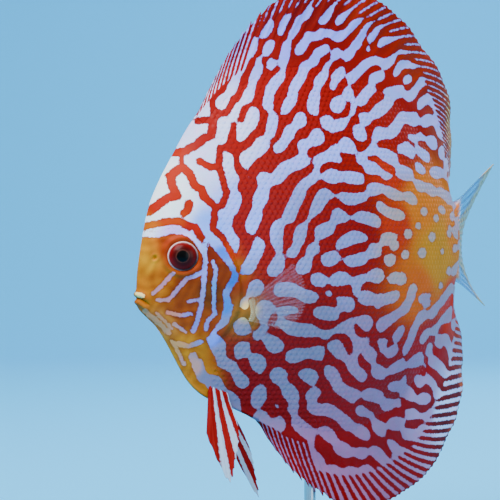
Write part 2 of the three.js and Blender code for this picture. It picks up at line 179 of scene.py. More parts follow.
def makePiece(name, points, quads, layers, material, node=None):
    # a mesh with its values at each point: numbers, or colours where they have three columns
    mesh = bpy.data.meshes.new(name)
    faces = [q[:3] if q[3] == q[0] or q[3] == q[2] else q for q in quads.tolist()]
    mesh.from_pydata(points.reshape(-1, 3).tolist(), [], faces)
    mesh.polygons.foreach_set("use_smooth", np.ones(len(faces), bool))
    for layer, values in layers.items():
        values = np.asarray(values, np.float32)
        if values.shape[-1] == 3 and values.size == 3 * len(mesh.vertices):
            attribute = mesh.attributes.new(layer, "FLOAT_COLOR", "POINT")
            padded = np.ones((len(mesh.vertices), 4), np.float32)
            padded[:, :3] = values.reshape(-1, 3)
            attribute.data.foreach_set("color", padded.ravel())
        else:
            attribute = mesh.attributes.new(layer, "FLOAT", "POINT")
            attribute.data.foreach_set("value", values.ravel())
    mesh.materials.append(material)
    mesh.update()
    piece = bpy.data.objects.new(name, mesh)
    bpy.context.scene.collection.objects.link(piece)
    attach(piece, "root")
    if node:
        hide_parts(*([node] if isinstance(node, str) else node))
    return piece


# Unpaired fins: root distance, tip distance and tip height of a few rays, in percent
dorsal = {
    "node": "dorsal_fin",
    "table": [
        [14.9, 16.3, 35], [18, 21, 44.5], [22, 26.5, 53], [27, 34, 60.5], [33, 43.5, 65.2], [41, 54, 67.3],
        [50, 65.5, 64.5], [60, 77, 59.5], [70, 88.5, 51.5], [79, 99, 43], [86.5, 106, 34], [91.5, 108, 26],
        [95, 105, 18.5], [97.5, 101, 14],
    ],
    "up": 1,
    "curl": 8.0,
    "spines": 9,
    "softRays": 31,
    "stripes": 50,
    "sweep": (0.1, 0.3),
    "rearBand": 0.3,
    "marginRed": 0.8,
    "stripesFrom": (0.62, 0.8),
}
anal = {
    "node": "anal_fin",
    "table": [
        [31, 33.5, -46], [35, 40, -54.5], [40, 46.5, -60], [46, 54, -63.5], [53, 65, -65.2], [61, 77, -63],
        [69, 87, -58.5], [77, 96.5, -51.5], [84, 104, -43.5], [90, 109.5, -34.5], [94, 110.5, -27],
        [97, 107.5, -20], [99, 102.5, -13],
    ],
    "up": -1,
    "curl": 3.0,
    "spines": 8,
    "softRays": 28,
    "stripes": 44,
    "sweep": (0.14, 0.06),
    "rearBand": 0.05,
    "marginRed": 0.2,
    "stripesFrom": (0.42, 0.6),
}


def unpairedRoot(fin, a):
    # where ray a leaves the body's outline, and the outline's direction away from the body
    table = np.array(fin["table"], float)
    s = curveAt(np.stack([table[:, 0] * percent, table[:, 0] * 0], -1), a)[..., 0]
    heightAt = backHeight if fin["up"] > 0 else bellyHeight
    slope = (heightAt(s + 0.5) - heightAt(s - 0.5)) * fin["up"]
    away = np.stack([-slope, np.ones_like(slope)], -1)
    away /= np.linalg.norm(away, axis=-1, keepdims=True)
    away[..., 1] *= fin["up"]
    return np.stack([s, heightAt(s)], -1), away


def unpairedTip(fin, a):
    table = np.array(fin["table"], float)
    return curveAt(table[:, 1:] * percent, a)


def unpairedFlat(fin, a, b):
    # place in the middle plane: from the outline at b 0 to the margin at b 1, rooted inside below 0
    root, away = unpairedRoot(fin, a)
    tip = unpairedTip(fin, a)
    outward = np.maximum(b, 0)[..., None]
    return mix(root + away * 0.3, tip, outward) + away * np.minimum(b, 0)[..., None]


def marginStripes(fin, a, b):
    # a sine across the fin's stripes, which lean back from the rays behind the spines
    middle, rear = fin["sweep"]
    sweep = smoothstep(a, 0.25, 0.6) * mix(middle, rear, smoothstep(a, 0.55, 0.9))
    return np.sin(2 * np.pi * fin["stripes"] * (a + sweep * (1 - np.clip(b, 0, 1)))) + fin["marginRed"]


def stripeShare(fin, a, b, sooner):
    # how far the stripes have taken over from the net of lines, which they do sooner towards the tail
    start, end = fin["stripesFrom"]
    sooner = sooner + fin["rearBand"] * smoothstep(a, 0.55, 0.8)
    return smoothstep(b, start - sooner, end - sooner)


# The livery is drawn on the fish's side plane. Its field is the distance in millimetres inside the
# nearest edge of a line, above 0 on red line and below 0 on pale.
livery = {
    "cell": 0.35,
    "sRange": (-4.0, 164.0),
    "hRange": (-94.5, 94.5),
    "spacings": (7.7, 5.6, 3.7),
    "directions": 6,
    "bandWidth": 0.66,
    "sharpness": 1.2,
    "aim": 1.5,
    "rounds": 4,
    "gain": 1.8,
    "push": 0.88,
    "threshold": -0.42,
    "leastSlope": 0.14,
    "evenOver": 16.0,
    "evening": 0.9,
    "evenLevel": 0.14,
    "rounding": 2.4,
    "speckReach": 5.0,
    "directionReach": 3,
    "bodySpacing": 7.6,
    "napeFiner": 1.9,
    "dorsalSpacing": 4.8,
    "analSpacing": 3.9,
    "farthest": 1.5,
}
# Which way the lines run: distance, height, angle in degrees and how strictly they keep to it.
# They were measured in the photo, window by window, then thinned out and rounded.
lineDirections = [
    (30, 16, 60, 0.6), (30, 42, 53, 0.3), (34, 62, 61, 0.7), (30, -42, 125, 0.35), (40, 2, 67, 0.66),
    (40, 28, 60, 0.4), (42, 42, 79, 0.6), (42, 64, 61, 0.8), (42, -8, 90, 0.15), (40, -28, 120, 0.1),
    (40, -48, 93, 0.25), (50, 6, 82, 0.6), (50, 22, 46, 0.5), (50, 32, 37, 0.6), (52, 52, 51, 0.8),
    (52, 68, 46, 0.8), (50, -18, 178, 0.6), (50, -34, 5, 0.4), (50, -50, 130, 0.55), (62, 8, 20, 0.7),
    (60, 32, 44, 0.5), (60, 42, 95, 0.25), (62, 62, 35, 0.8), (60, -28, 179, 0.6), (60, -48, 150, 0.5),
    (70, 14, 168, 0.4), (70, 28, 173, 0.5), (70, 42, 76, 0.15), (74, 66, 28, 0.7), (70, -12, 2, 0.4),
    (70, -34, 126, 0.6), (70, -52, 144, 0.8), (82, 10, 172, 0.6), (82, 30, 0, 0.55), (84, 46, 27, 0.5),
    (84, 66, 20, 0.75), (80, -38, 138, 0.5), (80, -48, 10, 0.5), (84, -64, 155, 0.65), (92, 24, 162, 0.7),
    (92, 48, 36, 0.7), (92, -18, 18, 0.3), (92, -34, 34, 0.55), (92, -50, 0, 0.55), (104, 34, 164, 0.5),
    (104, 54, 15, 0.8), (102, -28, 40, 0.65), (104, -46, 158, 0.7), (112, -60, 172, 0.9),
    (114, 22, 3, 0.6), (114, -22, 26, 0.6), (122, -38, 163, 0.7), (122, 34, 8, 0.35),
]
# Strokes on the face, picked in the photo, in millimetres: half width, then the points of the
# stroke as distance and height
redStrokes = {
    "brow": (1.25, [(2.2, 7.6), (8.4, 9.1), (12.3, 9.4), (15.3, 7.8), (17.4, 7.4), (19.2, 3.9)]),
    "forehead": (1.4, [(3.9, 12.4), (7.3, 15.2), (9.7, 16.9), (12.3, 17.5), (11.1, 20.8), (10.7, 24.1),
                       (14.4, 27), (16.3, 25), (17.8, 20.7), (19.6, 19.8), (20.4, 17.2), (22.2, 15.5)]),
    "temple": (1.15, [(22.2, 15.5), (23.7, 13.6), (23.3, 10), (22.9, 6.8), (25.7, 4.2), (27.9, 0.3),
                     (29.5, -2.6), (31.2, -6.5)]),
    "crownLink": (0.7, [(14.4, 27), (14.4, 30.6)]),
    "crown": (1.4, [(12.6, 31.7), (14.9, 31.9), (18.7, 33.9), (21.6, 36.5), (23.7, 37.2), (24.6, 40.5),
                    (25.6, 44.1)]),
    "nape": (1.25, [(20.2, 42.2), (23.9, 42.5), (29.4, 42.5)]),
    "side": (1.2, [(19.5, 28.9), (22.7, 26.9), (25.4, 27.3), (26.2, 23.7), (26.7, 20.8), (27.5, 18.8),
                    (25.9, 14.6), (23.7, 13.6)]),
    "sideLink": (1.15, [(25.5, 28.3), (26.1, 33.2), (28.6, 33.5), (30.5, 34.2)]),
    "wedge": (1.3, [(14.2, 11.9), (15.4, 13), (15.8, 15.2)]),
    "hook": (1.05, [(31.4, 4.5), (29.8, 7.8), (30.5, 10.7), (33.4, 11)]),
}
paleStrokes = {
    "overEye": (0.85, [(1.8, 5.2), (6, 4.9), (9.8, 6.1), (13.2, 6.1), (16.5, 4.5), (18.6, 1.6),
                       (20.2, -1)]),
    "upright": (0.7, [(20.2, 1.6), (20.5, -3.9), (20.2, -9.7), (19.7, -16.2), (19.3, -19.4),
                      (18.3, -23.7), (17.4, -26.3)]),
    "underEye": (0.6, [(10.7, -7.6), (8.6, -9.9), (6.9, -12.3), (4.9, -14.1)]),
    "cheek": (0.65, [(19.9, -7.1), (17.4, -8.4), (15, -9.4), (12.9, -11.6), (11.1, -14.2), (9.4, -16.2),
                     (6.5, -16.2)]),
    "bar": (0.5, [(15.4, -16.7), (18.9, -16)]),
    "lowBar": (0.6, [(9.3, -20.1), (12.9, -21.1), (16.5, -20.7)]),
    "jaw": (0.5, [(11.6, -24), (15, -26.6)]),
    "throat": (0.8, [(12.9, -30.4), (16.2, -31.3), (19.7, -29.9)]),
    "chinRidge": (0.75, [(2.7, -19.8), (4.8, -21.6), (7, -23.6), (10.4, -27)]),
    "chinFold": (0.45, [(6.2, -20.4), (8.6, -22.8), (11, -25.6)]),
    "throatEdge": (0.5, [(11.4, -29.6), (13.4, -33), (15.6, -37.4)]),
    "chest": (1.3, [(17.9, -34.6), (19.4, -38), (21.4, -42)]),
    # the lip stroke is a painted highlight: the whitish spot where the light catches the upper lip
    "lipHighlight": (0.75, [(0.2, -14.3), (1.5, -14.8)]),
    "gillInner": (0.6, [(22.9, -3.9), (23.9, -6.5), (23.3, -11.3), (23.4, -17.8), (23.8, -20.7),
                        (21.7, -23), (21.2, -25.6)]),
    "gillOuter": (1.0, [(21.6, 3.6), (22.9, 2.3), (25.1, -0.6), (27.9, -3.9), (29.9, -7.1), (29.3, -9.7),
                        (27.1, -13.9), (27.6, -18.2), (26.8, -22.4), (25, -25.6), (22.3, -29.6),
                        (21.4, -33.5)]),
}
# The face's rear edge, and the line over the eye below which the face is orange: distance and height
faceEdge = np.array([
    (23, -46), (21.5, -41), (20.3, -36), (21, -31), (28, -22), (30, -14), (32, -7), (31, -2),
    (30.5, 3), (31.5, 10), (29.5, 20), (29, 30), (27.5, 38), (24, 46),
])
orangeEdge = np.array([
    (0, 6), (6, 6), (10, 7), (14, 7), (18, 4.5), (20.5, 2.5), (22.5, 3), (25, 0), (28, -3), (30.5, -6),
    (34, -9),
])
# Small pale spots in the orange patch before the tail: distance, height and size
patchSpots = [
    (97.4, 5.5, 1), (103.2, 8.3, 0.7), (112, 4.5, 1), (90.1, 1.7, 1.1), (95.8, -1.6, 0.9),
    (105.5, -1, 1.05), (119.1, -0.4, 0.6), (93.8, -9.9, 1.25), (100.4, -13.4, 1.05),
    (108.7, -18.1, 1.2), (124.8, -7.4, 0.9), (124.9, 5.7, 0.8), (115.1, 11.2, 0.8),
    (107.1, 13.4, 0.9), (118.5, -12.5, 0.7),
]
patch = {
    "middle": (110, -1),
    "reach": (21, 16.5),
    "spotReach": (2.3, 1.75),
    "dotsMiddle": (109, 3),
    "dotsReach": (19, 17),
}


def strokeDistance(points, s, h):
    # shortest distance from each place to a polyline
    best = np.full(np.shape(s), 1e9)
    for (s0, h0), (s1, h1) in zip(points[:-1], points[1:]):
        ds, dh = s1 - s0, h1 - h0
        t = np.clip(((s - s0) * ds + (h - h0) * dh) / (ds * ds + dh * dh), 0, 1)
        best = np.minimum(best, np.hypot(s - s0 - t * ds, h - h0 - t * dh))
    return best


def faceShare(s, h):
    # 1 on the face, where the strokes are drawn, and 0 behind the gill cover and the nape
    edge = np.interp(h, faceEdge[:, 1], faceEdge[:, 0])
    return 1 - smoothstep(s, edge - 1.2, edge + 1.2)


def insideStrokes(strokes, s, h):
    # how far inside the nearest of the strokes, in millimetres, and below 0 outside them all
    best = np.full(s.shape, -9.0)
    for half, points in strokes.values():
        best = np.maximum(best, half - strokeDistance(points, s, h))
    return best


def faceField(s, h):
    # the drawn face: red strokes on pale above the eye line, pale strokes on orange below it
    eyeLine = np.interp(s, orangeEdge[:, 0], orangeEdge[:, 1])
    below = np.clip(eyeLine - h, -2, 2)
    return np.maximum(insideStrokes(redStrokes, s, h), np.minimum(-insideStrokes(paleStrokes, s, h), below))


def spottedPatch(distance, s, h):
    # clears the orange patch before the tail of pale cells and sets the small spots in it
    (s0, h0), (reachS, reachH) = patch["middle"], patch["reach"]
    core = 1 - smoothstep(np.hypot((s - s0) / reachS, (h - h0) / reachH), 0.7, 1.05)
    distance = mix(distance, 1.2, core)
    spotS, spotH = patch["spotReach"]
    for s1, h1, size in patchSpots:
        away = np.hypot((s - s1) / (spotS * size), (h - h1) / (spotH * size))
        distance = np.minimum(distance, (away - 1) * spotH * size)
    return distance


def finSpread(fin, sGrid, hGrid, shape):
    # spreads the fin's own (a, b) over the livery's grid
    a, b = np.meshgrid(np.linspace(0, 1, 1500), np.linspace(0, 1.06, 420), indexing="ij")
    flat = unpairedFlat(fin, a, b)
    i = np.clip(((flat[..., 0] - sGrid[0]) / livery["cell"]).round().astype(int), 0, shape[0] - 1)
    j = np.clip(((flat[..., 1] - hGrid[0]) / livery["cell"]).round().astype(int), 0, shape[1] - 1)
    along, out, angle = np.zeros(shape), np.full(shape, -1.0), np.zeros(shape)
    root = unpairedFlat(fin, a, np.zeros_like(b))
    tip = unpairedFlat(fin, a, np.ones_like(b))
    along[i, j], out[i, j] = a, b
    angle[i, j] = np.arctan2(tip[..., 1] - root[..., 1], tip[..., 0] - root[..., 0])
    return along, out, angle


def blurred(grid, size, reach):
    # the grid with its short waves taken out by exp(-(reach / wavelength)^2)
    return np.fft.irfft2(np.fft.rfft2(grid) * np.exp(-(size * reach) ** 2), s=grid.shape)


def lineFlow(s, h):
    # a complex number at twice the lines' angle, the longer the more strictly they keep to it
    turned, total = np.zeros(s.shape, complex), np.zeros(s.shape)
    for s0, h0, degrees, strict in lineDirections:
        near = 1 / ((s - s0) ** 2 + (h - h0) ** 2 + livery["directionReach"] ** 2) ** 2
        turned += near * strict * np.exp(2j * math.radians(degrees))
        total += near
    return turned / total


def lineSpacing(s, h, margin):
    # millimetres from one line to the next: finer up on the nape and along the fins' margins
    body = livery["bodySpacing"] - livery["napeFiner"] * smoothstep(h - 0.25 * s, 20, 50)
    return mix(body, np.where(h > 0, livery["dorsalSpacing"], livery["analSpacing"]), margin)


def filterBank(size, heading, spacing, direction, strict):
    # oriented band-pass filters, each with its weight at each place for the lines wanted there
    places = np.log(livery["spacings"])[::-1]
    level = np.interp(np.log(spacing), places, np.arange(len(places))[::-1])
    filters, weights = [], []
    for step, wavelength in enumerate(livery["spacings"]):
        near = np.clip(1 - np.abs(level - step), 0, 1)
        band = np.exp(-((size * wavelength - 1) / livery["bandWidth"]) ** 2)
        for k in range(livery["directions"]):
            across = math.pi * k / livery["directions"]
            filters.append(band * np.exp(livery["sharpness"] * (np.cos(2 * (heading - across)) - 1)))
            turnedBy = np.cos(2 * (direction + math.pi / 2 - across)) - 1
            weights.append(near * np.exp(livery["aim"] * strict * turnedBy))
    return filters, weights


def liveryField(seed):
    # A field of noise is filtered again and again by oriented band-pass waves and squashed by tanh,
    # so it settles into pale cells in a net of lines that run along the given directions. It is held
    # to the face's strokes and to stripes along the rays at the fins' margins.
    cell, farthest = livery["cell"], livery["farthest"]
    sGrid = np.arange(*livery["sRange"], cell)
    hGrid = np.arange(*livery["hRange"], cell)
    s, h = np.meshgrid(sGrid, hGrid, indexing="ij")
    turned = lineFlow(s, h)
    margin, red, hold, held = (np.zeros(s.shape) for _ in range(4))
    for fin in (dorsal, anal):
        along, out, angle = finSpread(fin, sGrid, hGrid, s.shape)
        ahead = 1 - smoothstep(along, 0.3, 0.6)
        turned = mix(turned, 0.9 * np.exp(2j * angle), smoothstep(out, 0.25, 0.7) * ahead)
        margin = np.maximum(margin, smoothstep(out, 0.35, 0.85))
        red += fin["marginRed"] * smoothstep(out, 0.2, 0.8)
        edge = stripeShare(fin, along, out, 0.1)
        hold, held = mix(hold, marginStripes(fin, along, out), edge), np.maximum(held, edge)
    face = faceShare(s, h)
    hold, held = mix(hold, np.tanh(1.5 * faceField(s, h)), face), np.maximum(held, face)
    (dotsS, dotsH), (reachS, reachH) = patch["dotsMiddle"], patch["dotsReach"]
    dots = np.exp(-(((s - dotsS) / reachS) ** 2 + ((h - dotsH) / reachH) ** 2) ** 1.5)
    push = livery["push"] + 0.2 * dots - 0.75 * margin
    waveS = np.fft.fftfreq(s.shape[0], cell)[:, None]
    waveH = np.fft.rfftfreq(s.shape[1], cell)[None, :]
    size, heading = np.hypot(waveS, waveH), np.arctan2(waveH, waveS)
    direction, strict = np.angle(turned) / 2, np.abs(turned) + 0.8 * margin
    filters, weights = filterBank(size, heading, lineSpacing(s, h, margin), direction, strict)
    total = sum(weights)
    field = np.random.default_rng(seed).standard_normal(s.shape)
    for _ in range(livery["rounds"]):
        spectrum = np.fft.rfft2(field)
        waves = sum(w * np.fft.irfft2(spectrum * f, s=s.shape) for f, w in zip(filters, weights)) / total
        waves = waves / waves.std()
        field = np.tanh(livery["gain"] * mix(waves + push, hold, 0.75 * held))
    lines = waves + livery["threshold"] + 0.65 * dots + 0.5 * red + 0.3 * margin
    broad = blurred(np.tanh(2 * lines), size, livery["evenOver"])
    lines = lines - livery["evening"] * (broad + livery["evenLevel"]) * (1 - margin) * (1 - dots)
    slope = np.hypot(*np.gradient(lines, cell))
    distance = np.clip(lines / np.hypot(slope, livery["leastSlope"]), -farthest, farthest)
    distance = mix(1.25 * blurred(distance, size, livery["rounding"]), distance, margin)
    distance += (1 - margin) * smoothstep(blurred(distance, size, livery["speckReach"]), 0.2, 0.45)
    distance = spottedPatch(distance, s, h)
    return mix(distance, np.clip(faceField(s, h), -farthest, farthest), face)


liveryGrid = liveryField(fish["seed"])
farGrid = liveryField(fish["seed"] + 5)
print("liveries drawn:", liveryGrid.shape, "red share", round(float((liveryGrid > 0).mean()), 2))


def sampled(grid, s, h):
    # value of a livery grid at any place, blended between its four nearest cells
    i = np.clip((s - livery["sRange"][0]) / livery["cell"], 0, grid.shape[0] - 1.001)
    j = np.clip((h - livery["hRange"][0]) / livery["cell"], 0, grid.shape[1] - 1.001)
    i0, j0 = i.astype(int), j.astype(int)
    u, v = i - i0, j - j0
    low = mix(grid[i0, j0], grid[i0 + 1, j0], u)
    return mix(low, mix(grid[i0, j0 + 1], grid[i0 + 1, j0 + 1], u), v)


# Colours as they should look over the body, listed as distance, height, reach in millimetres, and
# the colour there
lineColours = [
    (25, 45, 14, (198, 14, 4)), (60, 50, 22, (184, 6, 0)), (95, 45, 18, (182, 16, 4)),
    (60, 75, 18, (172, 6, 2)), (40, 10, 12, (172, 8, 4)), (70, 5, 14, (156, 6, 2)),
    (50, -35, 16, (124, 0, 2)), (85, -50, 20, (122, 0, 2)), (75, -75, 16, (108, 0, 2)),
    (106, -58, 12, (112, 4, 8)), (90, 28, 8, (220, 48, 2)), (92, 8, 8, (206, 52, 4)),
    (108, 16, 12, (236, 126, 2)), (116, 0, 13, (204, 140, 6)), (104, -14, 10, (206, 98, 2)),
    (128, 6, 8, (220, 124, 6)), (128, -18, 8, (186, 40, 4)), (126, 44, 9, (160, 40, 8)),
    (137, 46, 6, (172, 84, 20)), (142, 38, 5, (166, 118, 54)), (112, -36, 12, (144, 6, 4)),
    (128, -62, 8, (78, 6, 10)), (138, -52, 7, (86, 10, 10)),
    (60, 88, 9, (196, 28, 2)), (84, 80, 9, (196, 34, 2)), (108, 64, 8, (188, 44, 6)),
    (143, -50, 4, (150, 74, 24)), (134, -64, 4, (120, 44, 16)),
    (1.5, 2, 3, (236, 160, 10)), (2, 8, 5, (236, 128, 4)), (11, 9.5, 3.5, (222, 78, 4)),
    (17, 7, 3, (196, 28, 6)),
    (3.5, -4, 4, (218, 156, 12)), (8, -9, 5, (188, 114, 4)), (13, -1.6, 6.5, (186, 66, 4)),
    (5, -13, 4, (200, 124, 4)), (14, -12, 5, (136, 64, 4)), (14, -20, 5, (148, 74, 8)),
    (22, -2, 3, (146, 48, 2)), (22, -14, 4, (106, 58, 2)), (26, -8, 4, (132, 54, 4)),
    (31, -6, 3, (176, 96, 6)), (29, 0, 3, (204, 62, 4)), (9, -24, 4, (190, 132, 44)),
    (15, -34, 5, (188, 136, 18)), (21, -43, 4, (196, 138, 16)), (34, -22, 5, (152, 110, 36)),
    (14, 25, 8, (222, 48, 4)), (8, 14, 5, (214, 40, 4)),
]
paleColours = [
    (5, 20, 12, (236, 230, 240)), (25, 40, 16, (216, 216, 240)), (60, 45, 24, (186, 190, 226)),
    (60, 75, 20, (178, 176, 222)), (100, 45, 16, (176, 178, 208)), (35, 12, 12, (172, 186, 222)),
    (60, 5, 20, (150, 160, 196)), (100, 5, 18, (176, 162, 160)), (50, -30, 18, (120, 134, 170)),
    (85, -45, 22, (136, 124, 164)), (70, -75, 18, (136, 118, 168)), (25, -38, 8, (132, 142, 174)),
    (112, -54, 10, (146, 138, 174)), (130, -58, 9, (164, 186, 208)), (110, -22, 10, (150, 140, 164)),
    # the whitish colour at 0.8, -14.5 is the painted highlight on the upper lip
    (0.8, -14.5, 1.5, (240, 224, 190)), (138, 48, 7, (206, 198, 156)), (126, 48, 6, (182, 174, 206)),
    (7, -24, 3.4, (184, 156, 118)), (12, -31, 4, (196, 166, 112)),
    (3.5, -20.5, 2.5, (190, 160, 118)), (19, -38, 4, (184, 162, 156)),
    (22, 8, 5, (160, 196, 240)), (11, 5.5, 4, (206, 198, 234)), (8, -11, 4, (186, 152, 170)),
    (14, -12, 4, (160, 144, 186)), (20, -8, 3, (150, 166, 214)), (19, -22, 4, (132, 148, 206)),
    (23.5, -12, 2.5, (88, 168, 226)), (26, -1, 2.5, (76, 152, 240)), (29, -9, 3.4, (16, 122, 244)),
    (27, -18, 3, (44, 144, 240)), (23, -29, 3, (124, 168, 228)), (34.5, -20, 3.2, (222, 208, 160)),
    (10, -20, 3, (196, 150, 132)),
]


def paint(colour, s, h):
    # The base colour that looks like this one under the studio's light, which falls off down and back
    # and turns bluer towards the floor. The view rolls bright greyish colours off, so they are lifted
    # by 11 * channel^3 * lowest channel.
    seen = linear(*colour)
    tint = np.array([0.77 + 0.0023 * h, 0.97 - 0.0012 * h, 1.04 - 0.0022 * h])
    lit = (1.7 + 0.0065 * h - 0.006 * (s - 60)) * tint
    base = seen * (1 + 11 * seen ** 3 * seen.min()) / lit
    if base.max() > 0.97:
        base *= (0.97 / base.max()) ** 0.6
    return np.minimum(base, 0.97)


def blendColours(anchors, s, h):
    # each colour counts by 1 / (0.02 + (distance / reach)^2)^2.5
    total, mixed = np.zeros(s.shape), np.zeros(s.shape + (3,))
    for s0, h0, reach, colour in anchors:
        share = 1 / (0.02 + ((s - s0) ** 2 + (h - h0) ** 2) / reach ** 2) ** 2.5
        total += share
        mixed += share[..., None] * paint(colour, s0, h0)
    return mixed / total[..., None]


def coloursAt(s, h, w=None):
    # the right flank has its own lines, which turn into the left's towards the face and the ridges
    line = sampled(liveryGrid, s, h)
    if w is not None:
        line = mix(line, sampled(farGrid, s, h), smoothstep(w, 2.5, 4.5) * (1 - faceShare(s - 3, h)))
    blotch = np.sin(0.9 * s + 0.5 * h + 2 * np.sin(0.45 * h - 0.2 * s))
    blotch *= np.sin(0.8 * h - 0.35 * s + 1.5 * np.sin(0.6 * s))
    blotch *= faceShare(s, h) * (1 - smoothstep(h, 4, 8))
    lines = blendColours(lineColours, s, h)
    return {
        "redLine": line,
        "lineColour": np.minimum(lines * (1 + blotch[..., None] * np.array([0.22, 0.34, 0.5])), 0.97),
        "paleColour": blendColours(paleColours, s, h),
    }


# Helpers for node trees: most add one node and give back its output
def fill(tree, socket, value):
    # a number or a colour is set on the socket, an output is linked to it
    if isinstance(value, (int, float, tuple)):
        socket.default_value = value
    else:
        tree.links.new(value, socket)


def fillAll(tree, node, values):
    for name, value in values.items():
        fill(tree, node.inputs[name], value)


def mathNode(tree, operation, *values, clamp=False):
    node = tree.nodes.new("ShaderNodeMath")
    node.operation = operation
    node.use_clamp = clamp
    for socket, value in zip(node.inputs, values):
        fill(tree, socket, value)
    return node.outputs[0]


def mixColour(tree, factor, a, b, blend="MIX"):
    node = tree.nodes.new("ShaderNodeMix")
    node.data_type = "RGBA"
    node.blend_type = blend
    for k, value in ((0, factor), (6, a), (7, b)):
        fill(tree, node.inputs[k], value)
    return node.outputs[2]


def objectPlace(tree):
    return tree.nodes.new("ShaderNodeTexCoord").outputs["Object"]


def noiseAt(tree, place, scale, detail=3.0, roughness=0.55):
    node = tree.nodes.new("ShaderNodeTexNoise")
    fillAll(tree, node, {"Vector": place, "Scale": scale, "Detail": detail, "Roughness": roughness})
    return node.outputs["Fac"]


def attributeValue(tree, name, output="Fac"):
    node = tree.nodes.new("ShaderNodeAttribute")
    node.attribute_name = name
    return node.outputs[output]


def greyOf(tree, value):
    node = tree.nodes.new("ShaderNodeCombineColor")
    for k in range(3):
        tree.links.new(value, node.inputs[k])
    return node.outputs[0]


def groupNode(tree, group, values):
    node = tree.nodes.new("ShaderNodeGroup")
    node.node_tree = group
    fillAll(tree, node, values)
    return node.outputs


def bumped(tree, shader, height, strength, distance):
    node = tree.nodes.new("ShaderNodeBump")
    fillAll(tree, node, {"Height": height, "Strength": strength, "Distance": distance})
    tree.links.new(node.outputs["Normal"], shader.inputs["Normal"])


def newGroup(name, inputs, outputs):
    # an empty group with its sockets, and its two ends
    group = bpy.data.node_groups.new(name, "ShaderNodeTree")
    for label, (kind, value) in inputs.items():
        socket = group.interface.new_socket(label, in_out="INPUT", socket_type="NodeSocket" + kind)
        if value is not None:
            socket.default_value = value
    for label, kind in outputs.items():
        group.interface.new_socket(label, in_out="OUTPUT", socket_type="NodeSocket" + kind)
    return group, group.nodes.new("NodeGroupInput").outputs, group.nodes.new("NodeGroupOutput")


def newMaterial(name):
    material = bpy.data.materials.new(name)
    material.use_nodes = True
    return material, material.node_tree, material.node_tree.nodes["Principled BSDF"]


def liveryGroup():
    # red line against pale cell: a soft threshold of the field, wobbled by fine noise, each mottled
    group, given, result = newGroup("livery", {
        "Line Field": ("Float", 0),
        "Line Colour": ("Color", None),
        "Pale Colour": ("Color", None),
        "Softness": ("Float", 0.14),
        "Mottle": ("Float", 0.3),
    }, {"Colour": "Color", "Line": "Float", "Grain": "Float"})
    place = objectPlace(group)
    wobble = noiseAt(group, place, 900, 2.0)
    grain = noiseAt(group, place, 2600, 2.0, 0.7)
    cloud = noiseAt(group, place, 170, 3.0)
    tone = noiseAt(group, place, 420, 2.0)
    shift = mathNode(group, "MULTIPLY", mathNode(group, "SUBTRACT", wobble, 0.5), 1.1)
    field = mathNode(group, "ADD", given["Line Field"], shift)
    spread = mathNode(group, "DIVIDE", field, given["Softness"])
    line = mathNode(group, "MULTIPLY_ADD", spread, 0.5, 0.5, clamp=True)
    dark = mathNode(group, "MULTIPLY", mathNode(group, "SUBTRACT", cloud, 0.5), given["Mottle"])
    light = mathNode(group, "ADD", dark, 1.0)
    speck = mathNode(group, "MULTIPLY_ADD", grain, 0.22, 0.89)
    lilac = mathNode(group, "MULTIPLY", mathNode(group, "SUBTRACT", tone, 0.42), 3.0, clamp=True)
    paleTint = mixColour(group, lilac, (0.9, 1.0, 1.0, 1), (1.06, 0.93, 1.0, 1))
    pale = mixColour(group, 1.0, given["Pale Colour"], paleTint, "MULTIPLY")
    inside = mathNode(group, "MULTIPLY", field, 1.6, clamp=True)
    lineTint = mixColour(group, inside, (0.72, 0.6, 0.7, 1), (1.04, 1.0, 1.0, 1))
    lines = mixColour(group, 1.0, given["Line Colour"], lineTint, "MULTIPLY")
    shade = greyOf(group, mathNode(group, "MULTIPLY", light, speck))
    colour = mixColour(group, 1.0, mixColour(group, line, pale, lines), shade, "MULTIPLY")
    fillAll(group, result, {"Colour": colour, "Line": line, "Grain": grain})
    return group


def scaleGroup():
    # fine overlapping scales: cells of about one scale, domed, over a skin grain
    group, given, result = newGroup("fineScales", {"Size": ("Float", 520.0)}, {"Height": "Float"})
    place = objectPlace(group)
    cells = group.nodes.new("ShaderNodeTexVoronoi")
    cells.feature = "SMOOTH_F1"
    fillAll(group, cells, {"Vector": place, "Scale": given["Size"], "Smoothness": 0.25, "Randomness": 0.55})
    dome = mathNode(group, "SUBTRACT", 1.0, cells.outputs["Distance"])
    fine = mathNode(group, "MULTIPLY", noiseAt(group, place, 2400, 3.0, 0.6), 0.35)
    fillAll(group, result, {"Height": mathNode(group, "ADD", dome, fine)})
    return group


liveryNodes = liveryGroup()
scaleNodes = scaleGroup()


def skinMaterial(name, finish):
    # wet scaled skin in the livery's colours, a little glossier on the pale cells
    material, tree, shader = newMaterial(name)
    drawn = groupNode(tree, liveryNodes, {
        "Line Field": attributeValue(tree, "redLine"),
        "Line Colour": attributeValue(tree, "lineColour", "Color"),
        "Pale Colour": attributeValue(tree, "paleColour", "Color"),
        "Softness": finish["softness"],
        "Mottle": finish["mottle"],
    })
    rough = mathNode(tree, "MULTIPLY_ADD", drawn["Line"], finish["lineRoughness"], finish["roughness"])
    fillAll(tree, shader, {
        "Base Color": drawn["Colour"],
        "Roughness": mathNode(tree, "MULTIPLY_ADD", drawn["Grain"], 0.12, rough),
        "Coat Weight": finish["coat"],
        "Coat Roughness": 0.18,
        "Specular IOR Level": finish["specular"],
    })
    scales = groupNode(tree, scaleNodes, {"Size": finish["scaleSize"]})
    bumped(tree, shader, scales["Height"], finish["bump"], 0.0002)
    return material


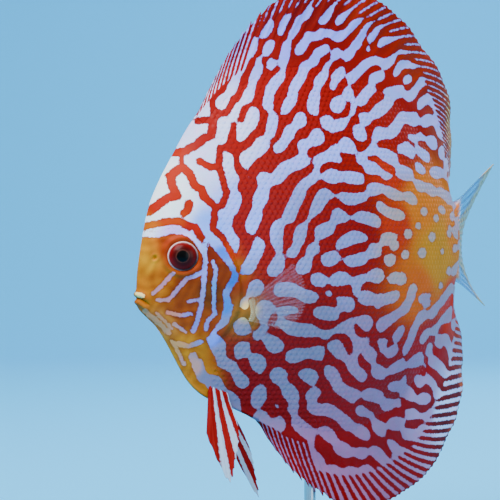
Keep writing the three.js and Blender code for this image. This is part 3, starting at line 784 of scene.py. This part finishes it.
skinFinish = {
    "softness": 0.13,
    "mottle": 0.28,
    "roughness": 0.4,
    "lineRoughness": 0.08,
    "scaleSize": 520.0,
    "bump": 0.4,
    "coat": 0.02,
    "specular": 0.1,
}
finFinish = {**skinFinish, "softness": 0.15, "mottle": 0.3, "roughness": 0.46, "scaleSize": 760.0,
             "bump": 0.25}
coatFinish = {**skinFinish, "roughness": 0.36, "scaleSize": 1700.0, "bump": 0.2, "coat": 0.03,
              "specular": 0.12}
skinLook = skinMaterial("skin", skinFinish)
finLook = skinMaterial("finSkin", finFinish)
coatLook = skinMaterial("scaleSkin", coatFinish)
print("materials ready")

# Skin: one closed tube from the snout to the tail's root
skin = {
    "columns": 272,
    "sideRows": 177,
    "ridgeRows": 4,
    "snoutCrowding": 2.2,
    "ridgeRound": 1.7,
    "eye": (10.2 * percent, -1.5 * percent),
    "nostril": (3.9 * percent, -1.9 * percent),
    "mouth": [(-1.5, -15.4), (1.2, -15.9), (4, -18)],
    "upperLip": (1.25, 0.8, 0.85),
    "lowerLip": (-1.2, 0.75, 0.8),
    "mouthDepth": 0.75,
    "gillLift": 0.65,
    "gillGroove": 0.35,
    "cheekFold": 0.22,
    "pectoralBase": (33.6, -20.2),
    "pectoralSwell": 0.9,
}
# Hollows: place, depth, radii of floor and edge, then rings round it as height, radius and half width
hollows = [
    (skin["eye"], 3.2, (3.6, 5.05), [(0.55, 5.9, 0.75), (-0.18, 7.6, 0.9)]),
    (skin["nostril"], 0.9, (0.25, 0.75), [(0.28, 1.15, 0.4)]),
]
gillEdge = [
    (13.1, 22.4), (13.8, 11.2), (17.3, 4.3), (20.1, 1.4), (22.5, -2.9), (23.8, -8.5), (23.7, -13.4),
    (21.9, -18.2), (18.9, -22.5), (16, -24.8), (13.9, -28.4),
]
gillLine = curveAt(np.array(gillEdge) * percent, np.linspace(0, 1, 60))


def relief(s, w, h):
    # how far the skin stands out at a place: lips, mouth line, nostrils, eye sockets and gill covers
    out = np.zeros(s.shape)
    mouth = skin["mouth"]
    reach = 1 - smoothstep(s, 2.6, 4.4)
    beside = strokeDistance(mouth, s, h)
    line = np.interp(s, [p[0] for p in mouth], [p[1] for p in mouth])
    signed = np.where(h > line, beside, -beside)
    for middle, height, half in (skin["upperLip"], skin["lowerLip"]):
        out += height * np.exp(-((signed - middle) / half) ** 2) * reach
    out -= skin["mouthDepth"] * np.exp(-(signed / 0.3) ** 2) * reach
    for place, depth, (floor, edge), rings in hollows:
        half = halfWidthAt(np.array(place[0]), np.array(place[1]))
        away = np.sqrt((s - place[0]) ** 2 + (h - place[1]) ** 2 + (np.abs(w) - half) ** 2)
        out -= depth * (1 - smoothstep(away, floor, edge))
        for height, radius, width in rings:
            out += height * np.exp(-((away - radius) / width) ** 2)
    edge = strokeDistance(gillLine, s, h)
    behind = s > np.interp(h, gillLine[::-1, 1], gillLine[::-1, 0])
    span = smoothstep(h, -33, -26) * (1 - smoothstep(h, 3, 10))
    lifted = skin["gillLift"] * (1 - smoothstep(edge, 0.6, 9)) * smoothstep(edge, 0, 0.35)
    groove = skin["gillGroove"] * (1 - smoothstep(edge, 0.1, 1.6))
    out += span * np.where(behind, -groove, lifted)
    fold = strokeDistance(paleStrokes["upright"][1], s, h)
    out -= skin["cheekFold"] * np.exp(-(fold / 0.5) ** 2)
    fromBase = np.hypot(s - skin["pectoralBase"][0], h - skin["pectoralBase"][1])
    out += skin["pectoralSwell"] * np.exp(-(fromBase / 2.6) ** 2)
    return out


def skinSurface():
    # columns run back from the snout, rows run round each section from the belly over the right side
    columns, rows, ridge = skin["columns"], skin["sideRows"], skin["ridgeRows"]
    u = (np.arange(columns) + 0.35) / (columns - 0.65)
    s = length * mix(u ** skin["snoutCrowding"], u, smoothstep(u, 0.0, 0.45) * 0.8)
    v = np.linspace(0, 1, rows)
    v = mix(v, 0.5 - 0.5 * np.cos(np.pi * v), 0.3)
    level = 2 * v - 1
    over = np.linspace(0, 1, ridge + 2)[1:-1] * 2 - 1
    levels = np.concatenate([level, np.ones(ridge), level[::-1], -np.ones(ridge)])
    sides = np.concatenate([np.ones(rows), -over, -np.ones(rows), over])
    arch = np.sqrt(1 - over ** 2)
    crest = np.concatenate([np.zeros(rows), arch, np.zeros(rows), -arch])
    sGrid, levelGrid = np.meshgrid(s, levels, indexing="ij")
    back, belly = backHeight(sGrid), bellyHeight(sGrid)
    h = (back + belly) / 2 + levelGrid * (back - belly) / 2
    half = halfWidthAt(sGrid, h)
    w = half * sides[None, :]
    h = h + crest[None, :] * np.minimum(half, skin["ridgeRound"]) * 0.45
    return np.stack([sGrid, w, h], -1)


def gridNormals(points, wrap):
    # cross product of the grid's two central differences
    along = np.gradient(points, axis=0)
    if wrap:
        around = np.roll(points, -1, 1) - np.roll(points, 1, 1)
    else:
        around = np.gradient(points, axis=1)
    normal = np.cross(around, along)
    return normal / np.maximum(np.linalg.norm(normal, axis=-1, keepdims=True), 1e-9)


flatSkin = skinSurface()
skinNormal = gridNormals(flatSkin, True)
if np.sum(skinNormal[..., 1] * flatSkin[..., 1]) < 0:
    skinNormal = -skinNormal
raised = relief(flatSkin[..., 0], flatSkin[..., 1], flatSkin[..., 2])
skinPoints = flatSkin + skinNormal * raised[..., None]


def capped(points):
    # the grid's points with one more at the middle of each end
    flat = points.reshape(-1, 3)
    return np.concatenate([flat, points[0].mean(0)[None], points[-1].mean(0)[None]])


def capFaces(columns, rows):
    # a fan at each end of a tube of columns of rows points
    j = np.arange(rows)
    after = (j + 1) % rows
    front, rear = columns * rows, columns * rows + 1
    last = (columns - 1) * rows
    start = np.stack([np.full(rows, front), j, after, np.full(rows, front)], -1)
    end = np.stack([np.full(rows, rear), last + after, last + j, np.full(rows, rear)], -1)
    return np.concatenate([start, end])


columns, rows = flatSkin.shape[:2]
skinQuads = np.concatenate([gridFaces(columns, rows, wrap=True), capFaces(columns, rows)])
straight = capped(skinPoints)
skinQuads = facingOut(straight, skinQuads)
skinLayers = coloursAt(straight[:, 0], straight[:, 2], straight[:, 1])
makePiece("skin", bent(straight), skinQuads, skinLayers, skinLook,
          ["head", "trunk", "tail_root"])
print("skin made:", len(straight), "points")


# Scales: each a plate of 5 x 5 points, rooted in the skin, its rounded rear edge lifted and turned down
coat = {
    "pitch": (1.95, 1.65),
    "overlap": (1.5, 1.2),
    "along": (0, 0.35, 0.7, 0.94, 1),
    "across": (-1, -0.55, 0, 0.55, 1),
    "rootDepth": 0.1,
    "lift": 0.26,
    "crown": 0.07,
    "edge": 0.11,
    "jitter": 0.09,
    "levelReach": 0.965,
    "patchHalf": 0.0015,
    "sRange": (24, 131),
    "hRange": (-62, 64),
    "behindGill": 1.2,
    "pectoralBase": (34.5, -20.2),
    "pectoralClear": 3,
    "sizes": (0.95, 1.08),
}


def flankNormal(s, h, side, step):
    # the smooth flank's outward direction, from its slopes over a step each way
    slopeS = (halfWidthAt(s + step, h) - halfWidthAt(s - step, h)) / (2 * step)
    slopeH = (halfWidthAt(s, h + step) - halfWidthAt(s, h - step)) / (2 * step)
    normal = np.stack([-slopeS, np.full(np.shape(s), float(side)), -slopeH], -1)
    return normal / np.linalg.norm(normal, axis=-1, keepdims=True)


def skinPlace(s, h, side, above):
    # the place at a height over the skin, along its outward normal
    half = halfWidthAt(s, h)
    base = np.stack([s, side * half, h], -1)
    return base + flankNormal(s, h, side, 0.4) * (relief(s, side * half, h) + above)[..., None]


def levelAt(s, h):
    back, belly = backHeight(s), bellyHeight(s)
    return (2 * h - back - belly) / (back - belly)


def scaleCoat(name, side):
    # sites in staggered rows behind the gill cover; a scale's point (p, q) is its site moved back by p
    # and up by q, narrowed to a round end beyond the middle
    pitchS, pitchH = coat["pitch"]
    s, h = np.arange(*coat["sRange"], pitchS), np.arange(*coat["hRange"], pitchH)
    s, h = np.meshgrid(s, h, indexing="ij")
    s = s + 0.5 * pitchS * (np.arange(s.shape[1]) % 2)
    rng = np.random.default_rng(fish["seed"] + 10 + side)
    s = s + rng.uniform(-1, 1, s.shape) * coat["jitter"]
    h = h + rng.uniform(-1, 1, s.shape) * coat["jitter"]
    kept = s > np.interp(h, gillLine[::-1, 1], gillLine[::-1, 0]) + coat["behindGill"]
    kept &= (np.abs(levelAt(s, h)) < coat["levelReach"]) & (s < coat["sRange"][1])
    baseS, baseH = coat["pectoralBase"]
    kept &= np.hypot(s - baseS, h - baseH) > coat["pectoralClear"]
    s, h = s[kept][:, None, None], h[kept][:, None, None]
    p, q = np.meshgrid(coat["along"], coat["across"], indexing="ij")
    size = rng.uniform(*coat["sizes"], s.shape)
    narrowed = np.sqrt(1 - (np.maximum(p - 0.45, 0) / 0.6) ** 2)
    placeS = s + (p - 0.4) * pitchS * coat["overlap"][0] * size - 0.12 * pitchS * q ** 2
    placeH = h + 0.5 * q * narrowed * pitchH * coat["overlap"][1] * size
    above = coat["lift"] * p - coat["rootDepth"] - coat["crown"] * q ** 2
    above = np.where(p > 0.99, above - coat["edge"], above) + 0 * s
    level = np.clip(levelAt(placeS, placeH), -0.985, 0.985)
    back, belly = backHeight(placeS), bellyHeight(placeS)
    placeH = (back + belly) / 2 + level * (back - belly) / 2
    straight = skinPlace(placeS, placeH, side, above).reshape(-1, 3)
    count, columns, rows = len(s), len(coat["along"]), len(coat["across"])
    quads = gridFaces(columns, rows)[None] + columns * rows * np.arange(count)[:, None, None]
    quads = quads.reshape(-1, 4)
    if side > 0:
        quads = quads[:, ::-1]
    layers = coloursAt(straight[:, 0], straight[:, 2], straight[:, 1])
    piece = makePiece(name, bent(straight), quads, layers, coatLook)
    u = 0.02 + 0.46 * s / length + (0.5 if side > 0 else 0) + coat["patchHalf"] * (2 * p - 1)
    v = 0.02 + 0.96 * (levelAt(s, h) + 1) / 2 + coat["patchHalf"] * q + 0 * p
    bakePlace = np.stack([u + 0 * v, v], -1).reshape(-1, 2)
    layer = piece.data.uv_layers.new(name="OFBake")
    layer.data.foreach_set("uv", bakePlace[quads.ravel()].astype(np.float32).ravel())
    print(name, "made:", count, "scales")


scaleCoat("scalesLeft", -1)
scaleCoat("scalesRight", 1)


# A fin blade: both faces over one grid of rays (a) by reach (b), closed round its border
def bladeFaces(columns, rows):
    # the two faces, then the strips along the root, the margin and the last and first ray
    count = columns * rows
    face = gridFaces(columns, rows)
    other = face[:, ::-1] + count
    i, j = np.arange(columns - 1), np.arange(rows - 1)

    def strip(p, q):
        return np.stack([q, p, p + count, q + count], -1)

    bottom = strip(i * rows, (i + 1) * rows)
    top = strip((i + 1) * rows + rows - 1, i * rows + rows - 1)
    last = strip((columns - 1) * rows + j, (columns - 1) * rows + j + 1)
    first = strip(j + 1, j)
    return np.concatenate([face, other, bottom, top, last, first])


def doubledUp(values):
    # one grid's values for both faces of a blade
    return np.concatenate([values.reshape((-1,) + values.shape[2:])] * 2)


def rayRidge(a, b, spines, softRays):
    # 1 on a ray and 0 on the web; soft rays fork in two beyond 0.42 of their length
    rays = spines + softRays
    place = a * rays
    x = place - np.floor(place) - 0.5
    soft = smoothstep(place, spines - 0.5, spines + 0.5)
    apart = 0.23 * smoothstep(b, 0.42, 1) * soft
    width = mix(0.2, 0.13, smoothstep(b, 0.3, 1))
    return np.maximum(np.exp(-((x - apart) / width) ** 2), np.exp(-((x + apart) / width) ** 2))


unpaired = {
    "columns": 401,
    "rows": 112,
    "rootDepth": 3.6,
    "rootHalf": 1.75,
    "rootWebHalf": 0.34,
    "webHalf": 0.16,
    "rayHeight": 0.26,
    "ragged": 0.012,
    "spineNotch": 0.1,
    "softNotch": 0.016,
    "ripple": 0.5,
    "curlStart": 0.55,
}


def unpairedFin(fin, name):
    columns, rows = unpaired["columns"], unpaired["rows"]
    depth = unpaired["rootDepth"]
    b = np.concatenate([[-depth, -0.66 * depth, -0.33 * depth], np.linspace(0, 1, rows - 3) ** 1.05])
    a, b = np.meshgrid(np.linspace(0, 1, columns), b, indexing="ij")
    ridge = rayRidge(a, b, fin["spines"], fin["softRays"])
    rays = fin["spines"] + fin["softRays"]
    spiny = 1 - smoothstep(a * rays, fin["spines"] - 0.5, fin["spines"] + 0.5)
    notch = mix(unpaired["softNotch"], unpaired["spineNotch"], spiny) * (1 - ridge)
    rng = np.random.default_rng(fish["seed"] + rays)
    ragged = unpaired["ragged"] * np.interp(a * rays, np.arange(rays + 1), rng.uniform(-1, 1, rays + 1))
    reach = np.where(b > 0, b * (1 - (notch + ragged) * smoothstep(b, 0.5, 1)), b)
    flat = unpairedFlat(fin, a, reach)
    out = np.clip(reach, 0, 1)
    body = unpaired["rootHalf"] * (1 - smoothstep(out, 0, 0.62)) ** 1.3
    web = np.hypot(body, mix(unpaired["rootWebHalf"], unpaired["webHalf"], out))
    half = web + unpaired["rayHeight"] * ridge * smoothstep(out, 0.12, 0.5) * mix(1, 0.6, out)
    half *= mix(1, 0.55, smoothstep(out, 0.93, 1))
    inside = halfWidthAt(flat[:, :1, 0], flat[:, :1, 1]) - 0.12
    half = mix(half, np.maximum(inside, unpaired["rootHalf"] - 0.2), np.clip(-b / depth, 0, 1))
    curl = fin["curl"] * smoothstep(a, unpaired["curlStart"], 1) * out ** 2
    wave = np.sin(2 * np.pi * 5.3 * a + 0.7) + 0.5 * np.sin(2 * np.pi * 12.1 * a)
    middle = curl + unpaired["ripple"] * out ** 2 * wave
    sides = [np.stack([flat[..., 0], middle + side * half, flat[..., 1]], -1) for side in (-1, 1)]
    straight = np.concatenate([p.reshape(-1, 3) for p in sides])
    quads = facingOut(straight, bladeFaces(columns, rows))
    along, both, spines = doubledUp(a), doubledUp(out), doubledUp(spiny)
    colours = coloursAt(straight[:, 0], straight[:, 2])
    line = mix(colours["redLine"], 0.6 * marginStripes(fin, along, both), stripeShare(fin, along, both, 0))
    line = mix(line, 0.8, smoothstep(both, 0.97, 0.985))
    onSpine = 0.5 * np.sin(2.4 * np.pi * rays * along) + 0.27
    colours["redLine"] = mix(line, onSpine, spines * smoothstep(both, 0.0, 0.14))
    makePiece(name, bent(straight), quads, colours, finLook, fin["node"])


unpairedFin(dorsal, "dorsalFin")
unpairedFin(anal, "analFin")
print("dorsal and anal fins made")

# Tail and paired fins. A place is its distance and height in percent of the length, then how far to
# the side it lies in millimetres.
tail = {
    "root": (-7.2 * percent, 11.6 * percent),
    "tips": [
        [120, -15.7, -3], [121, -10.5, 3], [119.8, -3.7, 6.5], [119.5, 1.5, 7], [120.2, 7.5, 5.5],
        [121.8, 15.8, 0.5], [121, 24.1, -6],
    ],
    "rays": 16,
    "columns": 257,
    "rows": 110,
    "curlPower": 1.6,
    "webHalf": 0.16,
    "rayHeight": 0.3,
    "notch": 0.03,
    "sink": 0.08,
    "rootHalf": 1.9,
}
pectoral = {
    "root": [[25.2, -13.2, 8.5], [25.6, -17, 8.2]],
    "rays": 12,
    "columns": 145,
    "rows": 90,
    "curlPower": 1.0,
    "webHalf": 0.13,
    "rayHeight": 0.22,
    "notch": 0.04,
    "sink": 0.1,
    "rootHalf": 0.7,
}
pelvic = {**pectoral, "root": [[17.8, -33.6, 1.6], [22.6, -35.6, 1.8]], "rays": 6, "columns": 121,
          "rows": 110, "sink": 0.06}
pectoralTips = [
    [33.5, -3, 21], [35.2, -6.5, 22.5], [35.8, -11, 23], [35.2, -15.5, 22], [32.5, -19.5, 18.5],
]
pelvicTips = {
    "left": [[16.6, -45, 4.6], [21.8, -56.5, 6], [23.6, -52, 5.6], [24.8, -46, 5], [24.6, -42.5, 4.2]],
    "right": [[24, -47, 4.8], [33.2, -61.5, 6.4], [32.6, -56, 6], [31, -50, 5.4], [28, -44.5, 4.4]],
}


def swapped(p):
    # (s, h, w) to (s, w, h)
    return np.stack([p[..., 0], p[..., 2], p[..., 1]], -1)


def ruledFin(root, tip, blade):
    # a blade ruled from its root line to its tips, sunk a little into the body below b 0
    b = np.concatenate([[-blade["sink"]], np.linspace(0, 1, blade["rows"] - 1)])
    a, b = np.meshgrid(np.linspace(0, 1, blade["columns"]), b, indexing="ij")
    ridge = rayRidge(a, b, 0, blade["rays"])
    reach = np.where(b > 0, b * (1 - blade["notch"] * (1 - ridge) * smoothstep(b, 0.6, 1)), b)
    start, end = root(a), tip(a)
    flat = mix(start, end, reach[..., None])
    curled = np.sign(reach) * np.abs(reach) ** blade["curlPower"]
    flat[..., 1] = start[..., 1] + (end[..., 1] - start[..., 1]) * curled
    out = np.clip(reach, 0, 1)
    body = blade["rootHalf"] * (1 - smoothstep(out, 0, 0.3))
    half = np.hypot(body, blade["webHalf"]) + blade["rayHeight"] * ridge * mix(1, 0.5, out)
    half *= mix(1, 0.5, smoothstep(out, 0.93, 1))
    return flat, half, a, out, ridge


def bladePoints(flat, half, direction):
    sides = [flat + side * half[..., None] * direction for side in (-1, 1)]
    return np.concatenate([p.reshape(-1, 3) for p in sides])


def clearMaterial(name, finish):
    # a clear membrane with whitish rays: alpha follows the ray and the reach from the root
    material, tree, shader = newMaterial(name)
    place = objectPlace(tree)
    spots = noiseAt(tree, place, 420, 2.0)
    tint = attributeValue(tree, "paleColour", "Color")
    shade = greyOf(tree, mathNode(tree, "MULTIPLY_ADD", spots, 0.5, 0.72))
    ray = attributeValue(tree, "ray")
    opaque = mathNode(tree, "MULTIPLY_ADD", ray, finish["rayAlpha"], finish["webAlpha"])
    far = mathNode(tree, "MULTIPLY", attributeValue(tree, "reach"), finish["rootReach"])
    denser = mathNode(tree, "MAXIMUM", opaque, mathNode(tree, "SUBTRACT", 1.0, far, clamp=True))
    fillAll(tree, shader, {
        "Base Color": mixColour(tree, 1.0, tint, shade, "MULTIPLY"),
        "Alpha": mathNode(tree, "MULTIPLY_ADD", spots, finish["spotAlpha"], denser, clamp=True),
        "Roughness": 0.35,
        "Coat Weight": 0.2,
    })
    bumped(tree, shader, noiseAt(tree, place, 1500, 2.0), 0.3, 0.0001)
    return material


tailLook = clearMaterial("tailMembrane", {
    "rayAlpha": 0.5,
    "webAlpha": 0.25,
    "spotAlpha": 0.25,
    "rootReach": 4,
})
pectoralLook = clearMaterial("pectoralMembrane", {
    "rayAlpha": 0.1,
    "webAlpha": -0.03,
    "spotAlpha": 0.05,
    "rootReach": 5,
})


def tailFin():
    low, high = tail["root"]
    tips = np.array(tail["tips"], float) * [percent, percent, 1]

    def root(a):
        return np.stack([np.full(a.shape, length + 0.3), np.zeros(a.shape), mix(low, high, a)], -1)

    def tip(a):
        return swapped(curveAt(tips, a))

    flat, half, a, out, ridge = ruledFin(root, tip, tail)
    straight = bladePoints(flat, half, np.array([0.0, 1.0, 0.0]))
    quads = facingOut(straight, bladeFaces(tail["columns"], tail["rows"]))
    lobe = np.abs(2 * a - 1)
    start = mix(-0.1, 0.6, smoothstep(lobe, 0.3, 0.9))
    band = smoothstep(out, start, start + 0.2)
    base = 1 - smoothstep(out, 0.03, 0.2)
    spots = smoothstep(np.sin(2 * np.pi * 9 * out) * np.sin(2 * np.pi * 8 * a), 0, 0.5)
    tan = mix(linear(208, 166, 88), linear(112, 76, 34), (spots * 0.8)[..., None])
    colour = mix(linear(70, 128, 184), tan, band[..., None])
    colour = mix(colour, linear(226, 112, 30), base[..., None])
    dense = np.maximum(0.5 * ridge, np.maximum(0.9 * band, base))
    layers = {"paleColour": doubledUp(colour), "ray": doubledUp(dense), "reach": doubledUp(out)}
    makePiece("tailFin", bent(straight), quads, layers, tailLook, "tail_fin")


def pairedBlade(blade, tipPoints, side):
    # straight points and faces of one fin, with its grids of rays, reach and ridges
    scale = np.array([percent, percent, side])
    first, last = (np.array(p, float) * scale for p in blade["root"])
    tips = np.array(tipPoints, float) * scale

    def root(a):
        return swapped(mix(first, last, a[..., None]))

    def tip(a):
        return swapped(curveAt(tips, a))

    flat, half, a, out, ridge = ruledFin(root, tip, blade)
    straight = bladePoints(flat, half, gridNormals(flat, False))
    quads = facingOut(straight, bladeFaces(blade["columns"], blade["rows"]))
    return straight, quads, a, out, ridge


def pectoralFin(word, side):
    # clear, whitish, with a yellower base
    straight, quads, _, out, ridge = pairedBlade(pectoral, pectoralTips, side)
    base = (1 - smoothstep(out, 0.1, 0.4))[..., None]
    colour = mix(linear(170, 170, 196) + 0 * base, linear(222, 206, 156), base)
    layers = {"ray": doubledUp(ridge), "reach": doubledUp(out), "paleColour": doubledUp(colour)}
    makePiece(f"pectoralFin{word.title()}", bent(straight), quads, layers, pectoralLook,
              f"pectoral_fin_{word}")


def pelvicFin(word, side):
    # long red and pale stripes from the root to the tip
    straight, quads, a, out, _ = pairedBlade(pelvic, pelvicTips[word], side)
    stripes = np.sin(2 * np.pi * (2.7 * a + 0.08)) + 0.5 - 0.4 * out
    plain = np.ones(out.shape + (3,))
    layers = {
        "redLine": doubledUp(stripes),
        "lineColour": doubledUp(plain * linear(140, 4, 2)),
        "paleColour": doubledUp(plain * linear(176, 192, 214)),
    }
    makePiece(f"pelvicFin{word.title()}", bent(straight), quads, layers, finLook,
              f"pelvic_fin_{word}")


tailFin()
for side, word in ((-1, "left"), (1, "right")):
    pectoralFin(word, side)
    pelvicFin(word, side)
print("tail and paired fins made")

# Eyes: a domed ball with pupil, iris and pale rim, under a wet gloss, with painted light that makes
# the upper left lighter and the lower right darker, so the rim's upper left is a painted highlight
eye = {
    "radius": 5.1,
    "bulge": 3.2,
    "sink": 1.2,
    "turns": 96,
    "steps": 60,
}


def eyeMaterial():
    material, tree, shader = newMaterial("eyeLook")
    ramp = tree.nodes.new("ShaderNodeValToRGB")
    ramp.color_ramp.interpolation = "LINEAR"
    # the pale pinkish stop at 0.915 is the rim; the painted light of the lit layer makes its upper left a
    # highlight
    stops = [
        (0.0, (0.001, 0.001, 0.001)), (0.34, (0.001, 0.001, 0.001)), (0.4, (0.1, 0.022, 0.014)),
        (0.46, (0.05, 0.002, 0.002)), (0.6, (0.09, 0.002, 0.002)), (0.76, (0.2, 0.003, 0.004)),
        (0.83, (0.16, 0.006, 0.006)), (0.88, (0.42, 0.2, 0.2)), (0.915, (0.85, 0.66, 0.68)),
        (0.945, (0.46, 0.24, 0.22)), (1.0, (0.3, 0.1, 0.05)),
    ]
    elements = ramp.color_ramp.elements
    for k, (place, colour) in enumerate(stops):
        stop = elements[k] if k < 2 else elements.new(place)
        stop.position = place
        stop.color = colour + (1,)
    streak = noiseAt(tree, objectPlace(tree), 1400, 3.0)
    across = mathNode(tree, "SUBTRACT", attributeValue(tree, "across"), 0.025)
    tree.links.new(mathNode(tree, "MULTIPLY_ADD", streak, 0.05, across), ramp.inputs["Fac"])
    # painted light: the lit layer scales the colour, lighter at the upper left and darker at the lower
    # right
    bright = greyOf(tree, mathNode(tree, "MULTIPLY_ADD", attributeValue(tree, "lit"), 1.1, 0.08))
    fillAll(tree, shader, {
        "Base Color": mixColour(tree, 1.0, ramp.outputs["Color"], bright, "MULTIPLY"),
        "Roughness": 0.3,
        "Specular IOR Level": 0.06,
        "Coat Weight": 0.05,
        "Coat Roughness": 0.06,
    })
    return material


def eyePiece(side, name, node):
    # half an ellipsoid and its back, by angle round (t) and angle from the axis (k)
    s0, h0 = skin["eye"]
    normal = flankNormal(s0, h0, side, 0.5)
    first = np.cross(normal, [0, 0, 1.0])
    first /= np.linalg.norm(first)
    second = np.cross(normal, first)
    centre = np.array([s0, side * float(halfWidthAt(s0, h0)), h0]) - normal * eye["sink"]
    turns, steps = eye["turns"], eye["steps"]
    t = np.linspace(0, 2 * np.pi, turns, endpoint=False)
    k, t = np.meshgrid(np.linspace(0.004, np.pi - 0.004, steps), t, indexing="ij")
    outward = np.cos(t)[..., None] * first + np.sin(t)[..., None] * second
    radius = eye["radius"] * np.sin(k)
    rise = eye["bulge"] * np.cos(k)
    straight = capped(centre + radius[..., None] * outward + rise[..., None] * normal)
    quads = np.concatenate([gridFaces(steps, turns, wrap=True), capFaces(steps, turns)])
    quads = facingOut(straight, quads)
    away = np.where(k < np.pi / 2, radius, 2 * eye["radius"] - radius) / eye["radius"]
    # painted light falling from the upper left: full on the rim, softened over the pupil and iris
    lit = np.clip(0.5 - 0.35 * outward[..., 0] + 0.45 * outward[..., 2], 0, 1)
    lit = mix(0.42 + 0.3 * lit, lit, smoothstep(away, 0.78, 0.88))
    layers = {
        "across": np.concatenate([away.ravel(), [0, 2]]),
        "lit": np.concatenate([lit.ravel(), [0.5, 0.5]]),
    }
    makePiece(name, bent(straight), quads, layers, eyeLook, node)


eyeLook = eyeMaterial()
eyePiece(-1, "eyeLeft", "eye_left")
eyePiece(1, "eyeRight", "eye_right")
print("eyes made")


# Stand: the CAD solids stay, with a satin black base and brushed steel rods
def baseMaterial():
    material, tree, shader = newMaterial("standBase")
    place = objectPlace(tree)
    cloud = noiseAt(tree, place, 30, 4.0)
    speck = noiseAt(tree, place, 1800, 2.0)
    fillAll(tree, shader, {
        "Base Color": mixColour(tree, cloud, (0.016, 0.016, 0.018, 1), (0.028, 0.027, 0.027, 1)),
        "Roughness": mathNode(tree, "MULTIPLY_ADD", speck, 0.2, 0.34),
    })
    bumped(tree, shader, speck, 0.15, 0.0001)
    return material


def rodMaterial():
    material, tree, shader = newMaterial("standRod")
    stretch = tree.nodes.new("ShaderNodeMapping")
    fillAll(tree, stretch, {"Vector": objectPlace(tree), "Scale": (1, 1, 0.02)})
    streak = noiseAt(tree, stretch.outputs["Vector"], 2600, 3.0)
    fillAll(tree, shader, {
        "Base Color": mixColour(tree, streak, (0.42, 0.43, 0.45, 1), (0.6, 0.61, 0.62, 1)),
        "Roughness": mathNode(tree, "MULTIPLY_ADD", streak, 0.25, 0.18),
        "Metallic": 1.0,
    })
    return material


standLooks = {"stand_base": baseMaterial(), "stand_rod_1": rodMaterial()}
standLooks["stand_rod_2"] = standLooks["stand_rod_1"]
for name, look in standLooks.items():
    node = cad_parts[name]
    node.data.materials.clear()
    node.data.materials.append(look)

# Floor that sweeps up into a backdrop, soft lights and the camera
studio = {
    "floorFront": -0.9,
    "sweepStart": 1.3,
    "sweepRadius": 0.6,
    "height": 2.2,
    "halfWidth": 3,
    "colour": (38, 182, 242),
}


def studioFloor():
    # flat floor, a quarter circle, then a wall, carried sideways
    front = np.array([[studio["floorFront"], 0.0], [studio["sweepStart"], 0.0]])
    angle = np.linspace(0, np.pi / 2, 24)[1:]
    radius = studio["sweepRadius"]
    sweep = np.stack([studio["sweepStart"] + radius * np.sin(angle), radius - radius * np.cos(angle)], -1)
    wall = np.array([[studio["sweepStart"] + radius, studio["height"]]])
    profile = np.concatenate([front, sweep, wall])
    x = np.linspace(-studio["halfWidth"], studio["halfWidth"], 5)
    shape = (len(profile), len(x))
    parts = (x[None, :], profile[:, :1], profile[:, 1:])
    points = np.stack([np.broadcast_to(part, shape) for part in parts], -1)
    mesh = bpy.data.meshes.new("studioFloor")
    mesh.from_pydata(points.reshape(-1, 3).tolist(), [], gridFaces(*shape)[:, ::-1].tolist())
    mesh.polygons.foreach_set("use_smooth", np.ones(len(mesh.polygons), bool))
    material, tree, shader = newMaterial("studioPaper")
    fillAll(tree, shader, {"Base Color": tuple(linear(*studio["colour"])) + (1,), "Roughness": 0.85})
    mesh.materials.append(material)
    floor = bpy.data.objects.new("studioFloor", mesh)
    bpy.context.scene.collection.objects.link(floor)


def softLight(name, place, target, size, watts, colour):
    # a square lamp turned to face its target
    light = bpy.data.lights.new(name, "AREA")
    light.shape = "SQUARE"
    light.size = size
    light.energy = watts
    light.color = colour
    lamp = bpy.data.objects.new(name, light)
    bpy.context.scene.collection.objects.link(lamp)
    lamp.location = place
    direction = np.array(target) - np.array(place)
    lamp.rotation_euler = (math.atan2(math.hypot(direction[0], direction[1]), -direction[2]), 0,
                           math.atan2(direction[1], direction[0]) - math.pi / 2)


studioFloor()
middle = (0.0, 0.0, 0.105)
softLight("keyLight", (-0.42, -0.6, 0.85), middle, 0.6, 18.5, (1.0, 0.98, 0.96))
softLight("fillLight", (0.55, -0.8, 0.25), middle, 0.7, 6, (0.95, 0.97, 1.0))
softLight("topLight", (0.05, 0.15, 0.95), middle, 0.6, 8, (1.0, 1.0, 1.0))
softLight("backLight", (0.3, 1.2, 1.5), (0, 1.7, 0.3), 1.2, 26, (0.95, 0.98, 1.0))
softLight("rearFill", (0.55, 0.85, 0.6), middle, 0.6, 5, (1.0, 0.98, 0.96))
world = bpy.data.worlds.new("studioAir")
world.use_nodes = True
air = world.node_tree.nodes["Background"]
fillAll(world.node_tree, air, {"Color": (0.8, 0.88, 0.95, 1), "Strength": 0.45})
bpy.context.scene.world = world

# The camera looks level at the fish's axis; sizes in millimetres
cameraX = 37.05
cameraDistance = 680
halfView = 81.25
camera = bpy.data.objects.new("camera", bpy.data.cameras.new("camera"))
bpy.context.scene.collection.objects.link(camera)
camera.location = np.array([cameraX - centreX, -centreY - cameraDistance, fish["axisHeight"]]) / 1000
camera.rotation_euler = (math.pi / 2, 0, 0)
camera.data.sensor_width = 36
camera.data.lens = 18 / (halfView / cameraDistance)
camera.data.clip_start = 0.05
camera.data.clip_end = 20
bpy.context.scene.camera = camera

print("done")
